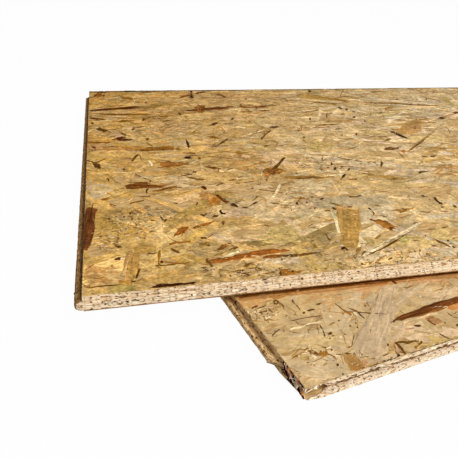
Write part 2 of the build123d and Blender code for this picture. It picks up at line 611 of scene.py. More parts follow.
# the smooth side lay on the polished press plate
roughContrast = 1.15
smoothContrast = 0.55
roughStrand = strandMaterial("pressed pine strand", roughContrast, strandWood)
smoothStrand = strandMaterial("smooth pressed pine strand", smoothContrast, strandWood)

# wood colours as they show on a pressed face: share among the strands, then among the small shards
strandTones = {
    "paleSapwood": ("#dcbf8e", 0.20, 0.24),
    "straw": ("#d6b47c", 0.30, 0.18),
    "honey": ("#d0aa6e", 0.24, 0.15),
    "oliveTan": ("#c4a262", 0.12, 0.10),
    "pinkSapwood": ("#dab88c", 0.10, 0.12),
    "amber": ("#b8843f", 0.050, 0.13),
    "redBrown": ("#9c6535", 0.022, 0.06),
    "darkBrown": ("#704726", 0.016, 0.06),
    "bark": ("#3f1a12", 0.0, 0.02),
}
fineTones = {
    "torn": ("#e8d2a8", 0.22, 0.22),
    "pale": ("#dcbe8c", 0.22, 0.22),
    "tan": ("#b98d4e", 0.22, 0.22),
    "brown": ("#8f6632", 0.22, 0.22),
    "dark": ("#5e3a1a", 0.12, 0.12),
}
strandLayer = {
    "count": 3500,
    "length": (64, 0.36, 26, 140),          # mm: middle size, log spread, least and most
    "width": (24, 0.40, 8, 55),
    "alongSpread": 27,                      # degrees about the panel's length
    "crossShare": 0.38, "crossSpread": 58,  # strands that lie across
    "heights": (-0.58, -0.32),              # mm, a strand's face against the panel face
    "tilt": 0.04, "bow": 1.6,
    "clusterShare": 0.0, "clusters": 1, "clusterSize": 1,
    "bevel": 0.6, "farBevel": 1.7, "seat": -0.86, "ceiling": -0.25, "border": 0.1, "borderSpread": 0.3,
    "rim": 1.0, "paleRims": 0.4, "calm": 5,
}
shardLayer = {
    "count": 4200,
    "length": (15, 0.5, 5, 45),
    "width": (3.4, 0.5, 1.2, 12),
    "alongSpread": 26,
    "crossShare": 0.45, "crossSpread": 60,
    "heights": (-0.22, -0.12),
    "tilt": 0.04, "bow": 0.8,
    "clusterShare": 0.3, "clusters": 90, "clusterSize": 40,
    "bevel": 0.25, "farBevel": 0.5, "seat": -0.62, "ceiling": 0, "border": 0.4, "borderSpread": 0.3,
    "rim": 0.8, "paleRims": 0.35, "calm": 8,
}
sliverLayer = dict(shardLayer, count=2300, length=(24, 0.45, 8, 60), width=(4.0, 0.4, 1.8, 9), alongSpread=16,
                   heights=(-0.24, -0.2), clusterShare=0.0, calm=5, rim=0.4)
sliverStart = 190  # mm from the front edge, nearer ones are among the marks
sliverTones = {
    "pale": ("#f2daa8", 0.32),
    "straw": ("#dcba80", 0.08),
    "tan": ("#a5783a", 0.16),
    "brown": ("#80561c", 0.26),
    "dark": ("#50300c", 0.18),
}
fineLayer = {
    "count": 5600,
    "length": (3.6, 0.40, 1.6, 9),
    "width": (1.9, 0.40, 0.8, 4),
    "alongSpread": 30,
    "crossShare": 0.5, "crossSpread": 60,
    "heights": (-0.2, -0.03),
    "tilt": 0.02, "bow": 0.06,
    "clusterShare": 0.6, "clusters": 130, "clusterSize": 26,
    "bevel": 0.12, "farBevel": 0.0, "seat": -0.55, "ceiling": 0, "border": 0.4, "borderSpread": 0.3,
    "rim": 0.7, "paleRims": 0.3, "calm": 5,
}


def spreadSizes(rng, size, count):
    middle, spread, least, most = size
    return np.clip(rng.lognormal(math.log(middle), spread, count), least, most)


toneJitter = {"spread": 0.15, "least": 0.64, "most": 1.25}


# a calm flake takes one of the layer's first few tones, the plain ones
def tonePick(rng, tones, column, count, calm, calmKinds):
    shares = np.array([tone[column] for tone in tones.values()])
    colours = np.array([linear(tone[0]) for tone in tones.values()])
    wild = rng.choice(len(shares), count, p=shares / shares.sum())
    plainShares = np.where(np.arange(len(shares)) < calmKinds, shares, 0)
    plain = rng.choice(len(shares), count, p=plainShares / plainShares.sum())
    jitter = rng.normal(1, toneJitter["spread"], (count, 1)).clip(toneJitter["least"], toneJitter["most"])
    return colours[np.where(calm, plain, wild)] * jitter


laySettings = {
    "clusterStretch": (1.6, 1),        # clusters are longer along the panel
    "overLength": 12, "overWidth": 8,  # mm, flakes start this far past the face
    "calmShare": 0.85,                 # of the flakes inside the photograph's frame
    "overhang": 12,                    # mm, half of it or half its width is how far past a flake may lie
}


def layFlakes(rng, s, size, kinds, tones, column, calmReach=0):
    count = s["count"]
    centres = rng.uniform((0, 0), size, (s["clusters"], 2))
    home = centres[rng.integers(0, s["clusters"], count)]
    home = home + rng.normal(0, s["clusterSize"], (count, 2)) * laySettings["clusterStretch"]
    overLength = laySettings["overLength"]
    overWidth = laySettings["overWidth"]
    free = rng.uniform((-overLength, -overWidth), (size[0] + overLength, size[1] + overWidth), (count, 2))
    place = np.where(rng.random((count, 1)) < s["clusterShare"], home, free)
    cross = rng.random(count) < s["crossShare"]
    angle = rng.normal(0, 1, count) * np.where(cross, s["crossSpread"], s["alongSpread"])
    rows = {
        "x": place[:, 0],
        "y": place[:, 1],
        "angle": np.radians(angle),
        "length": spreadSizes(rng, s["length"], count),
        "width": spreadSizes(rng, s["width"], count),
        "height": rng.uniform(*s["heights"], count),
        "tilt": rng.normal(0, s["tilt"], count),
        "twist": rng.normal(0, s["tilt"], count),
        "bow": rng.normal(0, s["bow"], count),
        "kind": rng.integers(0, kinds, count),
        "grainShift": rng.uniform(0, grainReach, count),
        "rimSide": np.where(rng.random(count) < s["paleRims"], -neutralRim, neutralRim),
    }
    calm = (rows["x"] < calmReach) & (rng.random(count) < laySettings["calmShare"])
    rows["tone"] = tonePick(rng, tones, column, count, calm, s["calm"])
    reach = np.minimum(rows["width"], laySettings["overhang"]) / 2
    inside = (rows["x"] > -reach) & (rows["x"] < size[0] + reach)
    inside &= (rows["y"] > -reach) & (rows["y"] < size[1] + reach)
    return keepRows(rows, inside)


def keepRows(rows, keep):
    return {key: value[keep] for key, value in rows.items()}


# the upper face is warmer towards its left end and its back corner, and darker there: painted shade for the
# light falling off
warmShadeSettings = {
    "start": 20, "reach": 310,  # mm along the front edge
    "backReach": 0.9,           # the warm part is longer by this share at the back
    "front": (0.98, 0.88, 0.58), "back": (0.87, 0.70, 0.38), "far": (1.02, 1.08, 1.23),
}


def warmthAndFalloffShade(x, y, width, s):
    depth = np.clip(y / width, 0, 1)
    plain = np.clip((x / (1 + s["backReach"] * depth) - s["start"]) / s["reach"], 0, 1)[:, None]
    warmShade = np.array(s["front"]) * (1 - depth[:, None]) + np.array(s["back"]) * depth[:, None]
    return warmShade * (1 - plain) + np.array(s["far"]) * plain


# flakes wholly under the other panel can't be seen and are left out
def dropCovered(rows, face, panel, other):
    place = np.stack([rows["x"], rows["y"], 0 * rows["x"]], -1) @ np.array(face["axes"], dtype=float)
    place = place + np.array(face["corner"])
    change = np.array(other["matrix"].inverted() @ panel["matrix"])
    place = place @ change[:3, :3].T + change[:3, 3]
    reach = rows["length"] / 2 + rows["width"] / 2
    covered = (place[:, 0] > reach) & (place[:, 0] < other["length"] - reach)
    covered &= (place[:, 1] > reach) & (place[:, 1] < other["width"] - reach)
    return keepRows(rows, ~covered)


# soft patches where the strands share one tone, and places with many fines: middle and half size in the
# photograph's pixels
upperZones = {
    "cornerAmber": ("#b97f3a", (99, 273), (12, 8)),
    "cornerOlive": ("#b89c4a", (121, 289), (8, 6)),
    "frontHoney": ("#bf9a58", (219, 274), (18, 6)),
    "frontOlive": ("#c4a860", (278, 233), (22, 9)),
    "frontCream": ("#dcc3a0", (281, 260), (19, 2.6)),
    "middleBeige": ("#d2b488", (270, 201), (28, 19)),
    "middlePink": ("#d9b894", (233, 211), (11, 5)),
    "middleAmber": ("#b9873f", (245, 160), (16, 9)),
    "leftHoney": ("#bb883f", (124, 162), (9, 6)),
    "leftBeige": ("#d2b488", (97, 191), (11, 6)),
    "leftPale": ("#d4b688", (176, 181), (13, 5)),
    "backRust": ("#b9844c", (94, 147), (6, 3)),
    "backPale": ("#d8ba86", (178, 142), (8, 4)),
    "backAmber": ("#bb8d55", (231, 99), (23, 6)),
    "backOlive": ("#b4994f", (318, 146), (11, 6)),
    "rightCrook": ("#c09048", (405, 127), (14, 7)),
    "rightAmber": ("#bf944c", (445, 152), (18, 10)),
    "rightRust": ("#b8823c", (448, 169), (14, 6)),
    "rightStraw": ("#c8a76a", (384, 187), (34, 7)),
    "rightBeige": ("#d0b98c", (322, 186), (26, 6)),
    "frontStraw": ("#bd9850", (318, 244), (22, 4)),
    "frontGold": ("#c2a45a", (321, 265), (18, 5)),
}
lowerZones = {
    "leftAmber": ("#c49256", (251, 302), (8, 6)),
    "leftPink": ("#c69860", (321, 299), (22, 9)),
    "leftStraw": ("#ccae78", (314, 341), (29, 5)),
    "rightRust": ("#cc9468", (431, 279), (30, 4)),
    "rightStraw": ("#c9aa62", (438, 342), (22, 5)),
    "middleRust": ("#c48e5c", (366, 288), (20, 5)),
    "rightPink": ("#dcbc98", (425, 333), (30, 8)),
    "backPink": ("#d8ba92", (440, 292), (20, 6)),
    "frontPale": ("#dcc098", (315, 372), (12, 8)),
}
upperGrit = {
    "left": (300, (142, 222), (34, 17)),
    "leftFront": (90, (110, 240), (18, 10)),
    "frontRight": (330, (390, 262), (68, 12)),
    "front": (150, (250, 272), (52, 7)),
    "middle": (110, (300, 200), (26, 10)),
    "back": (120, (330, 163), (40, 8)),
    "backLeft": (90, (120, 130), (26, 12)),
}
lowerGrit = {
    "front": (60, (380, 358), (56, 9)),
    "left": (45, (262, 314), (18, 8)),
    "middle": (36, (320, 352), (22, 8)),
}
zoneSettings = {
    "count": 16, "turn": 24,                       # strands in a patch, degrees
    "lengthShare": 0.55, "length": (14, 60),       # of the patch's size, and limits in mm
    "widthShare": 0.34, "width": (4, 22),
    "spread": 0.25, "heights": (-0.3, -0.26),
    "base": "#cfac74", "baseShare": 0.3, "ownShare": 0.7, "toneSpread": 0.05,
}


def placesInZone(rng, panel, middle, reach, count):
    turns = rng.uniform(0, math.tau, count)
    spread = np.sqrt(rng.random(count))[:, None]
    pixels = np.array(middle) + np.stack([np.cos(turns), np.sin(turns)], -1) * spread * np.array(reach)
    return np.array([pixelOnFace(panel, pixel) for pixel in pixels])


def zoneRows(rng, panel, zones, s):
    patches = []
    for code, middle, reach in zones.values():
        count = s["count"]
        places = placesInZone(rng, panel, middle, reach, count)
        wide = np.ptp(places[:, 0])
        deep = np.ptp(places[:, 1])
        tone = s["ownShare"] * np.array(linear(code)) + s["baseShare"] * np.array(linear(s["base"]))
        patches.append({
            "x": places[:, 0],
            "y": places[:, 1],
            "angle": np.radians(rng.normal(0, s["turn"], count)),
            "length": np.clip(rng.lognormal(0, s["spread"], count) * wide * s["lengthShare"], *s["length"]),
            "width": np.clip(rng.lognormal(0, s["spread"], count) * deep * s["widthShare"], *s["width"]),
            "height": rng.uniform(*s["heights"], count),
            "tilt": np.zeros(count),
            "twist": np.zeros(count),
            "bow": np.zeros(count),
            "kind": rng.integers(0, len(strandShapes), count),
            "grainShift": rng.uniform(0, grainReach, count),
            "rimSide": rng.uniform(-neutralRim, neutralRim, count),
            "tone": tone * rng.normal(1, s["toneSpread"], (count, 1)),
        })
    return patches


def gritRows(rng, panel, grit, size):
    patches = []
    for count, middle, reach in grit.values():
        rows = layFlakes(rng, dict(fineLayer, count=count), size, len(chipShapes), fineTones, 1)
        places = placesInZone(rng, panel, middle, reach, len(rows["x"]))
        patches.append(dict(rows, x=places[:, 0], y=places[:, 1]))
    return patches


# the far arris is dark with dirt, most of all at its left end
arrisSettings = {
    "count": 190, "turn": 0.6, "length": (18, 70), "reach": 700,  # degrees, mm, where the dirt thins out
    "leftWidth": 16, "rightWidth": 7, "widthSpread": (0.8, 1.2), "overhang": 1, "heights": (-0.1, -0.06),
    "leftTone": "#38280a", "rightTone": "#8a7444", "toneSpread": 0.25, "toneRange": (0.5, 1.6),
}


def arrisRows(rng, size, s):
    count = s["count"]
    flat = np.zeros(count)
    x = rng.uniform(0, size[0], count)
    far = np.clip(x / s["reach"], 0, 1)
    width = (s["leftWidth"] * (1 - far) + s["rightWidth"] * far) * rng.uniform(*s["widthSpread"], count)
    share = far[:, None]
    tone = np.array(linear(s["leftTone"])) * (1 - share) + np.array(linear(s["rightTone"])) * share
    return {
        "x": x,
        "y": size[1] - width / 2 + s["overhang"],
        "angle": np.radians(rng.normal(0, s["turn"], count)),
        "length": rng.uniform(*s["length"], count),
        "width": width,
        "height": rng.uniform(*s["heights"], count),
        "tilt": flat,
        "twist": flat,
        "bow": flat,
        "kind": rng.integers(0, len(chipShapes), count),
        "grainShift": rng.uniform(0, grainReach, count),
        "rimSide": flat,
        "tone": tone * rng.normal(1, s["toneSpread"], (count, 1)).clip(*s["toneRange"]),
    }


def joinRows(rowSets):
    return {key: np.concatenate([rows[key] for rows in rowSets]) for key in rowSets[0]}


faceLayers = {
    "Strands": (strandShapes, strandLayer, strandTones, 1),
    "Shards": (chipShapes, shardLayer, strandTones, 2),
    "Fines": (chipShapes, fineLayer, fineTones, 1),
}
# whether the other panel covers part of the face, share of each layer's flakes, how far the outlined marks
# reach in mm, factor of the tones, and how much the strands go towards one tone
shownFace = {"covered": False, "share": (1, 1, 1), "marked": 0, "shade": 1.0, "even": 0, "zones": None}
hiddenFace = dict(shownFace, share=(0.8, 0.3, 0.2))
faceSettings = {
    "upperTop": dict(shownFace, seed=21, marked=760, zones=upperZones, grit=upperGrit),
    "lowerTop": dict(shownFace, seed=22, covered=True, marked=560, shade=(0.875, 0.89, 0.965),
                     even=0.5, evenTone="#caac7f", zones=lowerZones, grit=lowerGrit),
    "upperUnder": dict(hiddenFace, seed=23, covered=True),
    "lowerUnder": dict(hiddenFace, seed=24),
}


def dressFace(name, panel, other, side, s):
    face = flatFace(panel, side)
    rng = np.random.default_rng(s["seed"])
    for share, (part, (shapes, layer, tones, column)) in zip(s["share"], faceLayers.items()):
        layer = dict(layer, count=int(layer["count"] * share))
        rows = layFlakes(rng, layer, face["size"], len(shapes), tones, column, s["marked"])
        rows["tone"] = rows["tone"] * np.array(s["shade"])
        if part == "Strands" and s["even"]:
            rows["tone"] = rows["tone"] * (1 - s["even"]) + np.array(linear(s["evenTone"])) * s["even"]
        if name == "upperTop":
            # the upper face's tones: warmer, and darker with painted shade, towards its left end and back
            rows["tone"] = rows["tone"] * warmthAndFalloffShade(rows["x"], rows["y"], panel["width"], warmShadeSettings)
        if part == "Strands" and s["zones"]:
            rows = joinRows([rows] + zoneRows(rng, panel, s["zones"], zoneSettings))
        if part == "Shards" and name == "upperTop":
            slivers = layFlakes(rng, sliverLayer, face["size"], len(shapes), sliverTones, 1)
            slivers = keepRows(slivers, (slivers["y"] > sliverStart) | (slivers["x"] > s["marked"]))
            rows = joinRows([rows, slivers, arrisRows(rng, face["size"], arrisSettings)])
        if part == "Fines" and s["zones"]:
            rows = joinRows([rows] + gritRows(rng, panel, s["grit"], face["size"]))
        if s["covered"]:
            rows = dropCovered(rows, face, panel, other)
        if name == "lowerUnder":
            away = np.hypot(rows["x"], panel["width"] - rows["y"])
            rows = keepRows(rows, away > tornCorner["clear"] + rows["length"] / 2)
        joinFlakes(name + part, flakeArrays(shapes, rows, face, layer), panel)


dressFace("upperTop", upper, lower, "top", faceSettings["upperTop"])
dressFace("lowerTop", lower, upper, "top", faceSettings["lowerTop"])
dressFace("upperUnder", upper, lower, "under", faceSettings["upperUnder"])
dressFace("lowerUnder", lower, upper, "under", faceSettings["lowerUnder"])

# chips on the milled edges: cut strand layers, pale along the length and darker where the grain is cut across
longTones = {
    "cream": ("#e8d2ae", 0.44),
    "pinkCream": ("#dec09c", 0.20),
    "tan": ("#c29e70", 0.12),
    "brown": ("#7a5632", 0.14),
    "gap": ("#3c2008", 0.17),
}
endTones = {
    "straw": ("#e2c08e", 0.26),
    "honey": ("#cda064", 0.28),
    "rust": ("#b47a44", 0.20),
    "brown": ("#714824", 0.14),
    "gap": ("#2e180a", 0.12),
}
lipTones = {                                # pale frayed lips of the front groove
    "cream": ("#f2e0c2", 0.56),
    "pinkCream": ("#e6c9a8", 0.26),
    "tan": ("#caa678", 0.12),
    "brown": ("#7a5632", 0.06),
}
# chips on the torn corner's shaded left face: pink and cream brighter than the wood as painted light, the dark
# chips painted shade of the cavities between them
tornLightAndShadeTones = {
    "pink": ("#ffd8bc", 0.40),
    "cream": ("#fff0dc", 0.18),
    "rust": ("#b06a3a", 0.16),
    "dark": ("#2a0e06", 0.26),
}
edgeLayer = {
    "density": {"front": 760, "left": 760, "back": 300, "right": 300},  # chips per metre of strip
    "length": (3.6, 0.5, 1.2, 10),
    "width": (1.25, 0.35, 0.5, 2.4),
    "alongSpread": 12, "crossShare": 0.2, "crossSpread": 40,
    "heights": (-0.22, 0.16), "tilt": 0.08, "bow": 0.1,
    "clusterShare": 0.0, "clusters": 1, "clusterSize": 1,
    "bevel": 0.1, "farBevel": 0.0, "seat": -0.5, "ceiling": 0.3, "border": 0.1, "borderSpread": 0.2,
    "rim": 0.6, "paleRims": 0.3, "calm": 5,
}
edgeSettings = {
    "lipStart": 2.7, "lipEnd": 6.9, "frayedStart": 1.7,          # mm from mid thickness
    "tongueLength": 5.95, "noseHalf": 1.6, "stop": 46,           # mm, stop is from the corner
    # the tint of the chips under the upper panel's front tongue is painted warm shade
    # upperShade darkens the chips on the upper panel's short sides: painted shade
    "stain": (0.9, 0.52, 0.22), "upperShade": 0.5, "lowerShade": 1.0,
    "upperSeed": 25, "lowerSeed": 26,
}
tornLayer = dict(edgeLayer, count=130, length=(5.5, 0.4, 2.5, 11), width=(2.3, 0.3, 1, 4),
                 heights=(-0.3, 1.1), tilt=0.25, ceiling=1.3, crossShare=1, crossSpread=70)


def dressEdges(name, panel, tongues, endShade, torn, seed, s):
    rng = np.random.default_rng(seed)
    parts = []
    for side in ("front", "back", "left", "right"):
        frayed = side == "front" and side not in tongues
        faces = [sideFace(panel, side, 0, s["frayedStart"] if frayed else s["lipStart"], s["lipEnd"])]
        faces.append(sideFace(panel, side, 0, -s["lipEnd"], -s["lipStart"]))
        if side in tongues:
            faces.append(sideFace(panel, side, s["tongueLength"], -s["noseHalf"], s["noseHalf"]))
        for index, face in enumerate(faces):
            reach = face["size"][0]
            layer = dict(edgeLayer, count=int(edgeLayer["density"][side] * reach * millimetre))
            tones = longTones if side in ("front", "back") else endTones
            if frayed:
                tones = lipTones
            rows = layFlakes(rng, layer, face["size"], len(chipShapes), tones, 1)
            if side in ("left", "right"):
                # painted shade on the upper panel's short sides
                rows["tone"] = rows["tone"] * endShade
            if side == "front" and index == 1 and side in tongues:
                # painted warm shade under the upper panel's front tongue
                rows["tone"] = rows["tone"] * np.array(s["stain"])
            if index == 2:
                low, high = (s["stop"], reach) if tongues[side] == "start" else (0, reach - s["stop"])
                rows = keepRows(rows, (rows["x"] > low) & (rows["x"] < high))
            if torn and index == 1 and side == "front":
                rows = keepRows(rows, rows["x"] > torn["chipLength"] + torn["margin"])
            if torn and index == 1 and side == "left":
                rows = keepRows(rows, rows["x"] < reach - torn["chipWidth"] - torn["margin"])
            parts += flakeArrays(chipShapes, rows, face, layer)
    if torn:
        face = sideFace(panel, "left", 0, -s["lipStart"], s["lipEnd"])
        rows = layFlakes(rng, tornLayer, (torn["reach"], face["size"][1]), len(chipShapes), tornLightAndShadeTones, 1)
        rows["x"] = face["size"][0] - torn["inset"] - np.abs(rows["x"])
        parts += flakeArrays(chipShapes, rows, face, tornLayer)
    joinFlakes(name, parts, panel)


dressEdges("upperEdgeChips", upper, {"front": "end", "left": "start"}, edgeSettings["upperShade"], None,
           edgeSettings["upperSeed"], edgeSettings)
dressEdges("lowerEdgeChips", lower, {"left": "end", "back": "start"}, edgeSettings["lowerShade"], tornCorner,
           edgeSettings["lowerSeed"], edgeSettings)

